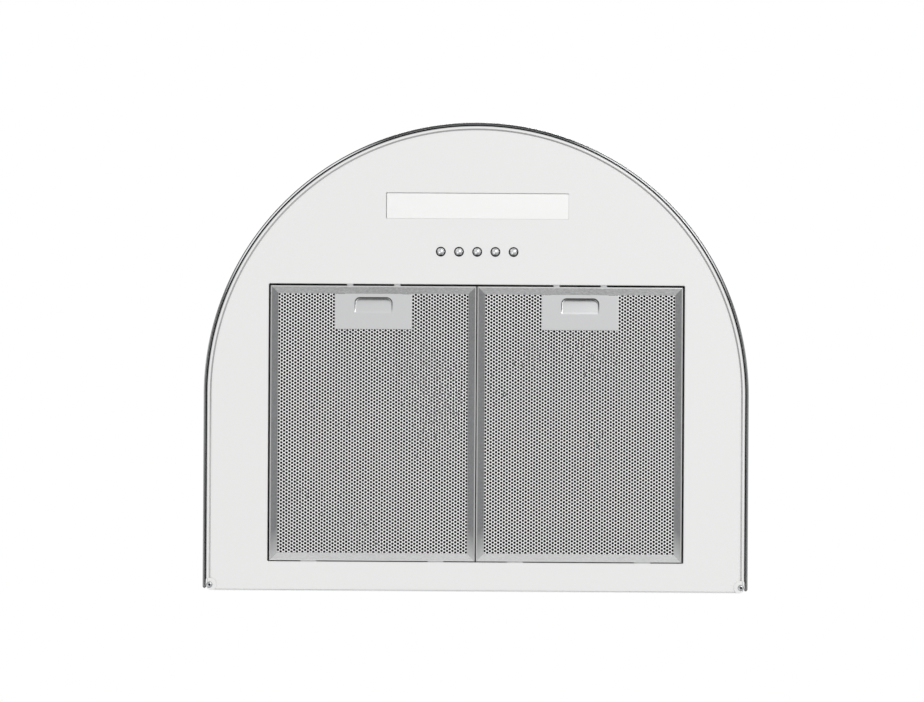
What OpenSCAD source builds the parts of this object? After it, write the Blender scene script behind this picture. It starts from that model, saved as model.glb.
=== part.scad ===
// Wall mount range hood with a D-shaped canopy, two hinged grease filters and a telescoping chimney.
// The origin is on the wall at the middle of the bottom rim. The front faces -Y and +Z is up.

/* [Canopy] */
// Width over the trim strip
hood_w = 600; // [570:1:640]
// Depth from the wall to the front of the trim strip
hood_d = 516; // [506:1:560]
// Height from the bottom rim to the flat top
canopy_h = 210; // [207:1:260]
// Thickness of the enamelled steel sheet
sheet_t = 1; // [0.8:0.1:1.2]
// Radius of the rounded top edge
top_edge_r = 40; // [15:1:45]
// Radius of the two rear corners
rear_corner_r = 6; // [5:0.5:8]
// Width of the lip round the bottom, on which the underside panel lies
lip_w = 3.2; // [2.6:0.1:5]
// Thickness of that lip
lip_t = 1.2; // [1:0.1:1.5]
// Width of the flange left round the window in the back
back_flange_w = 24; // [18:1:30]

/* [Trim] */
// Thickness of the chrome strip
trim_t = 2.8; // [2:0.1:4]
// Height of the chrome strip
trim_h = 24; // [15:1:40]
// Thickness of the tape between the strip and the canopy
tape_t = 1.2; // [0.8:0.1:1.6]
// How far the strip's ends stop short of the wall
trim_end_gap = 2; // [1:0.5:8]
// How far the tape's ends stop short of the wall, clear of the canopy's rounded corners
tape_end_gap = 8; // [8:1:20]

/* [Underside panel] */
// Gap between the panel's edge and the canopy
panel_gap = 0.4; // [0.2:0.1:0.8]
// Width of the filter opening
opening_w = 457.5; // [440:0.5:470]
// Depth of the filter opening
opening_d = 305.5; // [290:0.5:310]
// Distance from the wall to the filter opening
opening_from_wall = 32; // [30:1:34]
// Height of the flange turned up round the filter opening
opening_flange_h = 14; // [13:0.5:16]
// Length of the clips that hold the panel down
clip_l = 20; // [12:1:24]
// Distance from a rear corner screw to the canopy's side
screw_inset = 4; // [3.8:0.1:5]
// Radius of the rear corner screws
screw_r = 1.45; // [1.2:0.05:1.7]
// Radius of their heads
screw_head_r = 3.3; // [2.8:0.1:3.5]

/* [Lamp] */
// Length of the lamp opening
lamp_w = 201; // [150:1:240]
// Width of the lamp opening
lamp_d = 28.6; // [22:0.1:34]
// Distance from the button row to the lamp's middle line
lamp_from_buttons = 50.5; // [46:0.5:56]
// Thickness of the lens
lens_t = 2; // [1.5:0.1:3]
// How far the lens reaches past the opening, under the housing
lens_lip = 4; // [3:0.5:6]
// Height of the lamp housing
lamp_housing_h = 24; // [18:1:30]
// Number of light-emitting diodes
led_count = 12; // [6:1:16]

/* [Buttons] */
// Spacing of the buttons
button_pitch = 20; // [18:0.5:24]
// Distance from the filter opening to the button row
buttons_from_opening = 36; // [32:0.5:40]
// Radius of a button
button_r = 5; // [4:0.1:5.5]
// How far a button stands out of the panel
button_out = 3; // [2.6:0.1:4]
// Height of the domed end of a button
dome_h = 1.8; // [1:0.1:2.5]
// Gap round a button in its hole
button_gap = 0.4; // [0.3:0.1:0.6]
// Travel of a button
button_travel = 2.5; // [1.5:0.1:3]
// Length of a button's return spring at rest
button_spring_l = 5; // [4:0.1:7]
// Height of the switch module
switch_h = 20; // [18:1:24]
// Width of the switch module, front to back
switch_d = 20; // [14:1:24]

/* [Filters] */
// Thickness of a filter
filter_t = 9; // [8.5:0.1:11]
// Height of a filter's lower face above the rim
filter_z = 1.6; // [1.4:0.1:1.8]
// Gap at the outer side of each filter
filter_side_gap = 2; // [1:0.1:3]
// Gap between the two filters
filter_mid_gap = 1; // [0.6:0.1:2]
// Gap in front of the filters
filter_front_gap = 2; // [1.5:0.1:3]
// Gap behind the filters
filter_rear_gap = 1; // [0.9:0.1:1.3]
// Width of the filter frame
frame_w = 8.8; // [7:0.1:11]
// Thickness of the frame's folded sheet
frame_t = 0.8; // [0.6:0.1:1]
// Thickness of the perforated face sheet
mesh_t = 0.8; // [0.6:0.1:1]
// Spacing of the columns of holes
mesh_pitch_x = 18; // [15:0.5:24]
// Spacing of the holes in a column
mesh_pitch_y = 22.5; // [19:0.5:30]
// Width of a hole over its corners
mesh_hole = 11; // [6:0.5:13]
// Distance of the hook tongues from the filter's middle
hook_x = 70; // [40:1:90]
// Width of a hook tongue
hook_w = 18; // [10:1:24]

/* [Latches] */
// Width of the latch plate
latch_w = 85; // [76:1:90]
// Length of the latch plate, front to back
latch_l = 38.5; // [34:0.5:40]
// Thickness of the latch plate
latch_t = 0.9; // [0.7:0.1:1]
// Travel of the latch
latch_travel = 6; // [5:0.1:6.5]
// Width of the finger scoop
scoop_w = 42.4; // [34:0.2:44]
// Corner radius of the finger scoop
scoop_r = 6.5; // [4:0.5:7]
// Width of a latch tongue
tongue_w = 7; // [5:0.1:8]
// Thickness of a latch tongue
tongue_t = 1.2; // [1:0.1:1.5]
// Distance of the tongues from the latch's middle
tongue_x = 26; // [25:0.1:26.5]
// How far a tongue reaches over the panel's flange
tongue_catch = 2.5; // [1:0.1:3]

/* [Blower] */
// Outer radius of the impeller
impeller_r = 75; // [70:1:76]
// Length of the impeller
impeller_l = 116; // [90:1:120]
// Number of impeller blades
blade_count = 32; // [16:1:36]
// Radial depth of the blades
blade_d = 9; // [7:0.5:12]
// Radius of the shaft
shaft_r = 4; // [3:0.1:5]
// Radius of the motor
motor_r = 42; // [36:0.5:46]
// Length of the motor
motor_l = 88; // [80:1:96]
// Thickness of the scroll case
case_t = 1.2; // [1:0.1:1.5]
// Gap between the impeller and the scroll at its tightest
scroll_gap = 7.8; // [6:0.1:9]
// How much the scroll widens on its way round
scroll_growth = 12; // [8:0.5:14]
// Distance from the wall to the middle of the duct
duct_from_wall = 150; // [146:1:154]

/* [Duct collar] */
// Outer radius of the duct collar
collar_r = 74.5; // [62:0.5:76]
// Wall of the duct collar
collar_t = 1.2; // [1:0.1:1.5]
// Height of the duct collar above the canopy
collar_h = 60; // [45:1:90]
// Radius of the flaps' rod
rod_r = 2; // [1.5:0.1:2.5]
// Thickness of a backdraft flap
flap_t = 0.8; // [0.6:0.1:1.2]

/* [Chimney] */
// Width of the lower chimney cover
chimney_w = 262; // [256:1:290]
// Depth of the lower chimney cover
chimney_d = 292; // [286:1:310]
// Height of the lower chimney cover
chimney_lower_h = 300; // [150:1:500]
// Height of the upper chimney cover
chimney_upper_h = 315; // [165:1:515]
// Gap between the two covers
chimney_gap = 0.8; // [0.5:0.1:0.9]
// Width of the covers' flanges along the wall
chimney_flange_w = 15; // [10:1:20]

/* [Wall fixing] */
// Spacing of the wall bolts across
wall_bolt_x = 440; // [300:1:460]
// Spacing of the wall bolts in height
wall_bolt_z = 90; // [60:1:100]
// Radius of the wall bolt holes
wall_hole_r = 3.25; // [2.5:0.05:4]
// Spacing of the chimney bracket's bolts
chimney_bolt_x = 120; // [80:1:160]

/* [Hidden] */
$fn = 96;

// Overshoot of a cut past the face it opens
cut = 1;
// Small gap between pieces that slide on each other
slip = 0.1;
// Radial gap of a shaft in its bore
bore_gap = 0.05;
// Gap round a screw in a clearance hole
hole_gap = 0.25;
// Gap under a catch at rest
catch_gap = 0.3;

enamel = "#ecebe7";
chrome = "#d6d8da";
steel = "#a9adb0";
alloy = "#b9bbbc";
black_part = "#26272a";

// Canopy
body_r = hood_w / 2 - trim_t - tape_t;
arc_y = hood_d - hood_w / 2;
inner_r = body_r - sheet_t;
screw_x = body_r - screw_inset;
screw_y = rear_corner_r;
corner_tab_r = screw_head_r + 4.2;
screw_head_h = 1.6;
screw_l = 7;
rear_lip = sheet_t + 0.5;
window_z = 16;
top_under = canopy_h - sheet_t;
tape_margin = 3;

// Underside panel
panel_z = lip_t;
panel_top = panel_z + sheet_t;
opening_front = opening_from_wall + opening_d;
buttons_y = -(opening_front + buttons_from_opening);
lamp_y = buttons_y - lamp_from_buttons;
clip_angles = [198, 234, 270, 306, 342];
clip_t = 1.2;
clip_h = 15;
clip_foot = 10;
rear_panel_t = 1.5;
wall_bolt_low = 45;
lug_t = 1.5;
lug_w = 20;
lug_d = 12;

// Filters
filter_w = (opening_w - 2 * filter_side_gap - filter_mid_gap) / 2;
filter_d = opening_d - filter_front_gap - filter_rear_gap;
filter_x = (filter_mid_gap + filter_w) / 2;
filter_rear_y = -(opening_from_wall + filter_rear_gap);
filter_front_y = filter_rear_y - filter_d;
filter_top = filter_z + filter_t;
mesh_z = filter_z + frame_t;
core_z = mesh_z + mesh_t;
core_h = filter_t - 2 * frame_t - mesh_t;
fold_pitch = 14;
fold_flat = 2;
fold_t = 0.5;
hook_t = 1;
hook_l = 5;
hook_z = filter_z + 2.4;

// Latches
latch_y = filter_front_y + frame_w + catch_gap;
latch_z = mesh_z - slip - latch_t;
carriage_y = latch_y + 1.2;
carriage_w = 2 * (tongue_x + tongue_w / 2) + 1;
carriage_l = 24.5;
carriage_top = filter_top - frame_t - 1;
rail_t = 1;
rail_in = 2;
housing_t = 0.8;
housing_in_w = carriage_w + 1.2;
housing_w = housing_in_w + 2 * housing_t;
housing_front = filter_front_y + frame_t + slip;
cavity_y = carriage_y - 0.6;
cavity_rear = carriage_y + carriage_l + latch_travel + 0.7;
housing_rear = cavity_rear + 1;
tongue_z = mesh_z + 2.6;
tongue_tip = -(opening_front + sheet_t + tongue_catch);
scoop_y = carriage_y + 2;
scoop_deep = carriage_top - latch_z - 0.9;
scoop_flat = 6.4;
scoop_l = 17.5;
spring_y = carriage_y + 10.5;
spring_r = 1.8;
spring_wire = 0.5;
pocket_r = spring_r + 0.2;

// Lamp and buttons
lens_low = panel_z + 0.5;
lens_gap = 0.4;
lamp_wall = 1;
lamp_ear = 10;
led_margin = 15;
led_board_t = 1.6;
led_size = 5;
led_h = 1;
cap_top = panel_top + 4.8;
spring_wall = 1;
stem_r = 2.4;
chamber_r = 4;
stem_collar_r = chamber_r - 0.4;
stem_collar_h = 1.7;
switch_z = cap_top + button_spring_l;
switch_w = 4 * button_pitch + 32;
switch_wall = 2;
chamber_z = switch_z + switch_wall;
chamber_h = switch_h - 2 * switch_wall;
stem_top = chamber_z + chamber_h - button_travel - 1.5;
bracket_t = 1.2;
bracket_foot = 12;
driver_size = [70, 36, 22];
driver_x = switch_w / 2 + bracket_foot + driver_size[0] / 2 + 8;

// Blower
scroll_r = impeller_r + scroll_gap + case_t;
scroll_start = 95;
function scroll(a) = scroll_r + scroll_growth * (a - scroll_start) / (360 - scroll_start);
scroll_right = scroll(360);
outlet_in = -4;
outlet_d = scroll_right - outlet_in;
fan_y = -duct_from_wall - (scroll_right + outlet_in) / 2;
fan_z = filter_top + 5.5 + scroll(270);
flange_t = 2;
gasket_t = 4;
case_top = top_under - gasket_t;
case_half = impeller_l / 2 + 7;
inlet_r = impeller_r - 16;
case_flange = 14;
flange_size = [2 * (case_half + case_flange), outlet_d + 2 * case_flange];
bolt_x = case_half + case_flange / 2;
bolt_y = outlet_d / 2 + case_flange / 2;
bolt_r = 2.5;
nut_h = 4;
hub_x = -10;
hub_t = 1.5;
hub_l = 12;
shaft_l = 94;
ring_w = 3;
blade_t = 1.2;
blade_lean = 25;
motor_x = -4;
motor_wall = 8;
bearing_l = 10;
spoke_w = 10;
band_l = 10;
sleeve_t = 2.5;
capacitor_r = 14;
capacitor_l = 50;
strap_t = 1.5;
strap_w = 12;
strap_leg = 8;

// Duct collar
collar_flange = collar_r + 7.5;
collar_z = canopy_h + sheet_t;
collar_in = collar_r - collar_t;
seat_w = 3;
seat_t = 1;
rod_z = canopy_h + 26;
knuckle_r = rod_r + 1.2;
knuckle_l = 18;
flap_r = collar_in - 1;

// Chimney
chimney_r = chimney_w / 2;
chimney_y = chimney_d - chimney_r;
upper_r = chimney_r - sheet_t - chimney_gap;
upper_back = sheet_t + chimney_gap;
upper_z = canopy_h + 4;
upper_top = upper_z + chimney_upper_h;
foot_l = 20;
small_head_r = 2.8;
bracket_h = 30;
bracket_z = upper_top - 40;
bracket_depth = 25;
wall_bracket_t = 1.5;
spacer_r = 9;
bracket_y = upper_back + sheet_t + wall_bracket_t;

// Wiring
box_size = [80, 70, 35];
box_t = 1.5;
box_x = case_half + 20;
box_y = -25;
box_front = box_y - box_size[1];
gland_x = (box_x + box_t + upper_r - sheet_t) / 2;
gland_y = box_y - box_size[1] / 2;
gland_r = 8;
gland_bore_r = 4;
gland_hex_r = 12.5;
gland_hex_h = 8;
gland_low = top_under - box_t - 6;
gland_top = canopy_h + 14;
lead_r = 3;
lead_bend = 10;
lead_sides = 8;
motor_end = motor_x + motor_l;
motor_cap_t = 3;
motor_lead_x = box_x + box_size[0] / 5;
motor_lead_z = fan_z + 0.3 * motor_r;
motor_route = [
    [motor_lead_x, box_front, top_under - 2 * lead_bend],
    [motor_lead_x, box_front - 2.5 * lead_bend, top_under - 2 * lead_bend],
    [motor_end + 2 * lead_bend, fan_y + lead_bend / 2, fan_z + 5 * lead_bend],
    [motor_end + 2 * lead_bend, fan_y, motor_lead_z],
    [motor_end + motor_cap_t + 2 * lead_r, fan_y, motor_lead_z],
    [motor_end + motor_cap_t, fan_y, motor_lead_z]
];
clip_from_duct = 40;
clip_spacing = 90;
clip_y = [-duct_from_wall - clip_from_duct, -duct_from_wall - clip_from_duct - clip_spacing];
clip_drop = 6;
cable_clip_l = 10;
clip_pad_w = 16;
lamp_lead_x = box_x + 0.75 * box_size[0];
driver_lead_x = driver_x + 0.3 * driver_size[0];
lamp_route = [
    [lamp_lead_x, box_front, top_under - 2 * clip_drop],
    [lamp_lead_x, box_front - 2 * lead_bend, top_under - 2 * clip_drop],
    [lamp_lead_x, clip_y[0] + 2 * lead_bend, top_under - clip_drop - 0.6],
    [lamp_lead_x, clip_y[0], top_under - clip_drop],
    [lamp_lead_x, clip_y[1], top_under - clip_drop],
    [lamp_lead_x, clip_y[1] - 2 * lead_bend, top_under - clip_drop - 1],
    [lamp_lead_x, clip_y[1] - 4.5 * lead_bend, top_under - clip_drop - 1.4 * lead_bend],
    [lamp_lead_x, buttons_y + 2 * lead_bend, top_under - 7 * lead_bend],
    [driver_lead_x, buttons_y, panel_top + driver_size[2] + 3 * lead_bend],
    [driver_lead_x, buttons_y, panel_top + driver_size[2]]
];
switch_lead_z = switch_z + switch_h / 5;
switch_route = [
    [driver_x - driver_size[0] / 2, buttons_y, switch_lead_z],
    [driver_x - driver_size[0] / 2 - lead_bend / 2, buttons_y, switch_lead_z],
    [switch_w / 2 + bracket_t + lead_bend / 2, buttons_y, switch_lead_z],
    [switch_w / 2 + bracket_t, buttons_y, switch_lead_z]
];

module half_disc(r) {
    intersection() {
        circle(r);
        translate([-r, -r]) square([2 * r, r]);
    }
}

// D-shaped outline: a half circle at the front and straight sides that end back_gap off the wall
module d_outline(r, centre, back_gap = 0, corner = 0) {
    translate([0, -centre]) half_disc(r);
    translate([-r, -centre]) square([2 * r, centre - back_gap - corner]);
    if (corner > 0) {
        translate([corner - r, -centre]) square([2 * (r - corner), centre - back_gap]);
        for (side = [-1, 1]) translate([side * (r - corner), -back_gap - corner]) circle(corner);
    }
}

module both_sides(x, y) {
    for (side = [-1, 1]) translate([side * x, y]) children();
}

module edge_profile(r, h, edge) {
    square([r, h - edge]);
    square([r - edge, h]);
    translate([r - edge, h - edge]) circle(edge);
}

// D-shaped drum with a rounded top edge, from the height base up to h
module drum(r, h, edge, base = 0) {
    translate([0, 0, base]) {
        translate([0, -arc_y]) rotate(180) rotate_extrude(angle = 180)
            edge_profile(r, h - base, edge);
        rotate([90, 0, 0]) linear_extrude(arc_y) {
            edge_profile(r, h - base, edge);
            mirror([1, 0]) edge_profile(r, h - base, edge);
        }
    }
}

module canopy_shell() color(enamel) difference() {
    intersection() {
        drum(body_r, canopy_h, top_edge_r);
        linear_extrude(canopy_h) d_outline(body_r, arc_y, 0, rear_corner_r);
    }
    intersection() {
        drum(inner_r, top_under, top_edge_r - sheet_t, lip_t);
        linear_extrude(canopy_h) d_outline(inner_r, arc_y, sheet_t, rear_corner_r - sheet_t);
    }
    translate([0, 0, -cut]) linear_extrude(lip_t + 2 * cut) difference() {
        d_outline(body_r - lip_w, arc_y, rear_lip);
        both_sides(screw_x, -screw_y) circle(corner_tab_r);
    }
    both_sides(screw_x, -screw_y) translate([0, 0, -cut]) cylinder(lip_t + 2 * cut, r = screw_r + hole_gap);
    rear_window();
    top_holes();
    base_screw_places() cylinder(sheet_t + 2 * cut, r = screw_r + hole_gap);
}

module rear_window() {
    window_w = 2 * (inner_r - back_flange_w);
    window_h = top_under - top_edge_r - window_z - 4;
    translate([-window_w / 2, -sheet_t - cut, window_z]) cube([window_w, sheet_t + 2 * cut, window_h]);
}

// Holes through the flat top for the duct, its bolts and the cable gland
module top_holes() {
    translate([0, 0, top_under - cut]) {
        translate([0, -duct_from_wall]) cylinder(sheet_t + 2 * cut, r = collar_in - seat_w);
        translate([gland_x, gland_y]) cylinder(sheet_t + 2 * cut, r = gland_r + hole_gap);
        bolt_places() cylinder(sheet_t + 2 * cut, r = bolt_r + hole_gap);
    }
}

module bolt_places() {
    for (x = [-bolt_x, bolt_x], y = [-bolt_y, bolt_y]) translate([x, y - duct_from_wall]) children();
}

module base_screw_places() {
    both_sides(chimney_r - sheet_t - foot_l / 2 - 1, -chimney_y)
        translate([0, 0, top_under - cut]) children();
}

module rear_panel() color(steel) difference() {
    margin = back_flange_w / 2;
    union() {
        translate([margin - inner_r, -sheet_t - rear_panel_t, panel_top])
            cube([2 * (inner_r - margin), rear_panel_t, top_under - top_edge_r - 2 - panel_top]);
        for (side = [-1, 1]) mirror([side < 0 ? 1 : 0, 0, 0])
            translate([0, 0, panel_top]) linear_extrude(lug_t) corner_lug();
    }
    both_sides(screw_x, -screw_y) translate([0, 0, panel_top - cut])
        cylinder(lug_t + 2 * cut, r = screw_r + bore_gap);
    for (x = [-1, 1], z = [0, 1])
        translate([x * wall_bolt_x / 2, 0, wall_bolt_low + z * wall_bolt_z]) rotate([90, 0, 0])
            cylinder(sheet_t + rear_panel_t + cut, r = wall_hole_r);
}

// Lug of the rear panel in the canopy's rear corner, into which the corner screw goes
module corner_lug() {
    reach = rear_corner_r - sheet_t - panel_gap;
    end_x = inner_r - panel_gap - reach;
    translate([end_x - lug_w, -sheet_t - rear_panel_t - lug_d]) square([lug_w, lug_d + 0.1]);
    translate([end_x, -sheet_t - panel_gap - reach]) circle(reach);
    translate([end_x - reach, -sheet_t - panel_gap - 2 * reach]) square([reach, 2 * reach - rear_panel_t]);
}

module underside_panel() color(enamel) difference() {
    union() {
        translate([0, 0, panel_z]) linear_extrude(sheet_t)
            d_outline(inner_r - panel_gap, arc_y, sheet_t + panel_gap, rear_corner_r - sheet_t - panel_gap);
        translate([-opening_w / 2 - sheet_t, -opening_front - sheet_t, panel_z])
            cube([opening_w + 2 * sheet_t, opening_d + 2 * sheet_t, opening_flange_h]);
    }
    translate([-opening_w / 2, -opening_front, panel_z - cut])
        cube([opening_w, opening_d, opening_flange_h + 2 * cut]);
    translate([-lamp_w / 2, lamp_y - lamp_d / 2, panel_z - cut]) cube([lamp_w, lamp_d, sheet_t + 2 * cut]);
    translate([0, buttons_y, panel_z - cut]) button_row()
        cylinder(sheet_t + 2 * cut, r = button_r + button_gap);
    both_sides(screw_x, -screw_y) translate([0, 0, panel_z - cut])
        cylinder(sheet_t + 2 * cut, r = screw_r + hole_gap);
    for (side = [-1, 1]) translate([side * filter_x, 0, 0]) {
        flange_slots(hook_x, hook_w, hook_z, -opening_from_wall, opening_flange_h + panel_z - hook_z - 1.5);
        flange_slots(tongue_x, tongue_w, tongue_z, -opening_front - sheet_t, tongue_t + 2);
    }
}

// Two slots in a flange of the filter opening, through which a filter's tongues reach
module flange_slots(x, w, z, y, h) {
    for (side = [-1, 1]) translate([side * x - w / 2 - 1, y - cut / 2, z - catch_gap])
        cube([w + 2, sheet_t + cut, h]);
}

module button_row() {
    for (i = [-2:2]) translate([i * button_pitch, 0, 0]) children();
}

module panel_clips() color(steel) {
    for (a = clip_angles) translate([0, -arc_y, panel_top]) rotate(a)
        translate([inner_r - panel_gap - clip_t, -clip_l / 2, 0]) {
            cube([clip_t, clip_l, clip_h]);
            translate([-clip_foot, 0, 0]) cube([clip_foot + clip_t, clip_l, clip_t]);
        }
}

// Band of the trim's outline, between two radii, that stops short of the wall
module trim_band(outer, inner, end_gap) {
    difference() {
        d_outline(outer, arc_y, end_gap);
        translate([0, -arc_y]) circle(inner);
        translate([-inner, -arc_y]) square([2 * inner, arc_y]);
    }
}

module trim_strip() color(chrome) {
    round_r = trim_t / 2;
    translate([0, 0, round_r]) linear_extrude(trim_h - 2 * round_r)
        trim_band(hood_w / 2, body_r + tape_t, trim_end_gap);
    for (z = [round_r, trim_h - round_r]) translate([0, 0, z]) {
        middle = body_r + tape_t + round_r;
        translate([0, -arc_y]) rotate(180) rotate_extrude(angle = 180)
            translate([middle, 0]) circle(round_r);
        rotate([90, 0, 0]) translate([0, 0, trim_end_gap]) linear_extrude(arc_y - trim_end_gap) {
            translate([middle, 0]) circle(round_r);
            translate([-middle, 0]) circle(round_r);
        }
    }
}

module trim_tape() color(black_part) translate([0, 0, tape_margin])
    linear_extrude(trim_h - 2 * tape_margin) trim_band(body_r + tape_t, body_r, tape_end_gap);

module corner_screws() color(steel) both_sides(screw_x, -screw_y) difference() {
    union() {
        translate([0, 0, -screw_head_h]) cylinder(screw_head_h, r1 = screw_head_r - 0.9, r2 = screw_head_r);
        cylinder(screw_l, r = screw_r);
    }
    translate([0, 0, -screw_head_h - cut]) cylinder(1 + cut, r = 1.1, $fn = 6);
}

module light_lens() color("#f6f6f4") translate([0, lamp_y, 0]) {
    pad = [lamp_w - 2 * lens_gap, lamp_d - 2 * lens_gap];
    translate([-pad[0] / 2, -pad[1] / 2, lens_low]) cube([pad[0], pad[1], panel_top - lens_low]);
    translate([-lamp_w / 2 - lens_lip, -lamp_d / 2 - lens_lip, panel_top])
        cube([lamp_w + 2 * lens_lip, lamp_d + 2 * lens_lip, lens_t]);
}

module light_housing() color(steel) translate([0, lamp_y, panel_top]) {
    inner = [lamp_w + 2 * lens_lip + 1, lamp_d + 2 * lens_lip + 1];
    difference() {
        union() {
            translate([-inner[0] / 2 - lamp_wall, -inner[1] / 2 - lamp_wall, 0])
                cube([inner[0] + 2 * lamp_wall, inner[1] + 2 * lamp_wall, lamp_housing_h]);
            translate([-inner[0] / 2 - lamp_ear, -inner[1] / 2 - lamp_wall, 0])
                cube([inner[0] + 2 * lamp_ear, inner[1] + 2 * lamp_wall, lamp_wall]);
        }
        translate([-inner[0] / 2, -inner[1] / 2, -cut])
            cube([inner[0], inner[1], lamp_housing_h - lamp_wall + cut]);
    }
}

module at_led_board() {
    translate([0, lamp_y, panel_top + lamp_housing_h - lamp_wall - led_board_t]) children();
}

module led_board() color("#e9efe6") at_led_board()
    translate([led_margin / 2 - lamp_w / 2, -lamp_d / 3, 0])
        cube([lamp_w - led_margin, lamp_d * 2 / 3, led_board_t]);

module led_chips() color("#f3e6a8") at_led_board() {
    step = (lamp_w - 2 * led_margin) / (led_count - 1);
    for (i = [0:led_count - 1])
        translate([led_margin - lamp_w / 2 + i * step - led_size / 2, -led_size / 2, -led_h])
            cube([led_size, led_size, led_h]);
}

module led_driver() color("white")
    translate([driver_x - driver_size[0] / 2, buttons_y - driver_size[1] / 2, panel_top]) cube(driver_size);

module switch_module() color(black_part) translate([0, buttons_y, 0]) difference() {
    translate([-switch_w / 2, -switch_d / 2, switch_z]) cube([switch_w, switch_d, switch_h]);
    button_row() {
        translate([0, 0, switch_z - cut]) cylinder(switch_wall + 2 * cut, r = stem_r + bore_gap);
        translate([0, 0, chamber_z]) cylinder(chamber_h, r = chamber_r);
    }
}

module switch_bracket() color(steel) translate([0, buttons_y - switch_d / 2, 0]) {
    for (side = [0, 1]) mirror([side, 0, 0]) {
        translate([switch_w / 2, 0, panel_top]) cube([bracket_t, switch_d, switch_z + switch_h - panel_top]);
        translate([switch_w / 2, 0, panel_top]) cube([bracket_foot, switch_d, bracket_t]);
    }
    translate([-switch_w / 2 - bracket_t, 0, switch_z + switch_h])
        cube([switch_w + 2 * bracket_t, switch_d, bracket_t]);
}

module button_springs() color(steel) translate([0, buttons_y, cap_top]) button_row() difference() {
    cylinder(button_spring_l, r = stem_r + slip + spring_wall);
    translate([0, 0, -cut]) cylinder(button_spring_l + 2 * cut, r = stem_r + slip);
}

// One push button: domed cap, stem in the switch module and the collar that keeps it in
module button(place) color(chrome) translate([place * button_pitch, buttons_y, 0]) {
    low = panel_z - button_out;
    sphere_r = (button_r * button_r + dome_h * dome_h) / (2 * dome_h);
    intersection() {
        translate([0, 0, low]) cylinder(cap_top - low, r = button_r);
        union() {
            translate([0, 0, low + sphere_r]) sphere(sphere_r);
            translate([0, 0, low + dome_h]) cylinder(cap_top - low, r = button_r);
        }
    }
    translate([0, 0, cap_top - cut]) cylinder(stem_top - cap_top + cut, r = stem_r);
    translate([0, 0, chamber_z + catch_gap]) cylinder(stem_collar_h, r = stem_collar_r);
}

module button_light() button(-2);

module button_off() button(-1);

module button_low() button(0);

module button_medium() button(1);

module button_high() button(2);

module at_filter(side) {
    translate([side * filter_x, 0, 0]) children();
}

module filter_frame(side) color(alloy) at_filter(side) difference() {
    union() {
        translate([-filter_w / 2, filter_front_y, filter_z]) cube([filter_w, filter_d, filter_t]);
        for (hook = [-1, 1]) translate([hook * hook_x - hook_w / 2, filter_rear_y - 1, hook_z])
            cube([hook_w, hook_l + 1, hook_t]);
    }
    translate([frame_w - filter_w / 2, filter_front_y + frame_w, filter_z - cut])
        cube([filter_w - 2 * frame_w, filter_d - 2 * frame_w, filter_t + 2 * cut]);
    translate([frame_t - filter_w / 2, filter_front_y + frame_t, filter_z + frame_t])
        cube([filter_w - 2 * frame_t, filter_d - 2 * frame_t, filter_t - 2 * frame_t]);
    tongue_slots(filter_front_y - cut, frame_t + 2 * cut);
}

// Two slots for the latch tongues, from the given y and of the given depth
module tongue_slots(y, depth) {
    for (x = [-tongue_x, tongue_x]) translate([x - tongue_w / 2 - catch_gap, y, tongue_z - catch_gap])
        cube([tongue_w + 2 * catch_gap, depth, tongue_t + 2 * catch_gap]);
}

// Sheet that fills the frame's groove, with the latch housing's place cut out
module groove_sheet(z, h) {
    w = filter_w - 2 * frame_t - 2 * slip;
    d = filter_d - 2 * frame_t - 2 * slip;
    difference() {
        translate([-w / 2, filter_front_y + frame_t + slip, z]) cube([w, d, h]);
        translate([-housing_w / 2 - slip, housing_front - cut, z - cut])
            cube([housing_w + 2 * slip, housing_rear - housing_front + slip + cut, h + 2 * cut]);
    }
}

module filter_mesh(side) color("#a2a5a7") at_filter(side) difference() {
    groove_sheet(mesh_z, mesh_t);
    mesh_holes();
}

// Staggered holes over the part of the sheet that shows
module mesh_holes() {
    half_w = filter_w / 2 - frame_w - mesh_hole / 2 - 1;
    columns = floor(half_w / mesh_pitch_x);
    low = filter_front_y + frame_w + mesh_hole / 2 + 1;
    rows = floor((filter_d - 2 * frame_w - mesh_hole - 2) / mesh_pitch_y);
    for (i = [-columns:columns], j = [0:rows]) {
        x = i * mesh_pitch_x;
        y = low + (j + (abs(i) % 2) / 2) * mesh_pitch_y;
        beside_latch = abs(x) > housing_w / 2 + mesh_hole / 2 + 1;
        behind_latch = y > housing_rear + mesh_hole / 2 + 1;
        inside = y < filter_rear_y - frame_w - mesh_hole / 2 - 1;
        if (inside && (beside_latch || behind_latch))
            translate([x, y, mesh_z - cut]) cylinder(mesh_t + 2 * cut, d = mesh_hole, $fn = 6);
    }
}

// Layers of mesh behind the face sheet, as one folded sheet that fills the frame's groove
module filter_core(side) color("#8c9092") at_filter(side) intersection() {
    groove_sheet(core_z, core_h);
    translate([0, 0, core_z]) rotate([90, 0, 0]) linear_extrude(opening_from_wall + opening_d) {
        folds = ceil(filter_w / fold_pitch);
        for (i = [0:folds - 1]) translate([(i - folds / 2) * fold_pitch, 0]) polygon([
            [0, 0], [fold_flat, 0], [fold_pitch / 2, core_h - fold_t], [fold_pitch - fold_flat, 0],
            [fold_pitch, 0], [fold_pitch, fold_t], [fold_pitch - fold_flat + fold_t / 2, fold_t],
            [fold_pitch / 2 + fold_flat / 2, core_h], [fold_pitch / 2 - fold_flat / 2, core_h],
            [fold_flat - fold_t / 2, fold_t], [0, fold_t]
        ]);
    }
}

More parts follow.
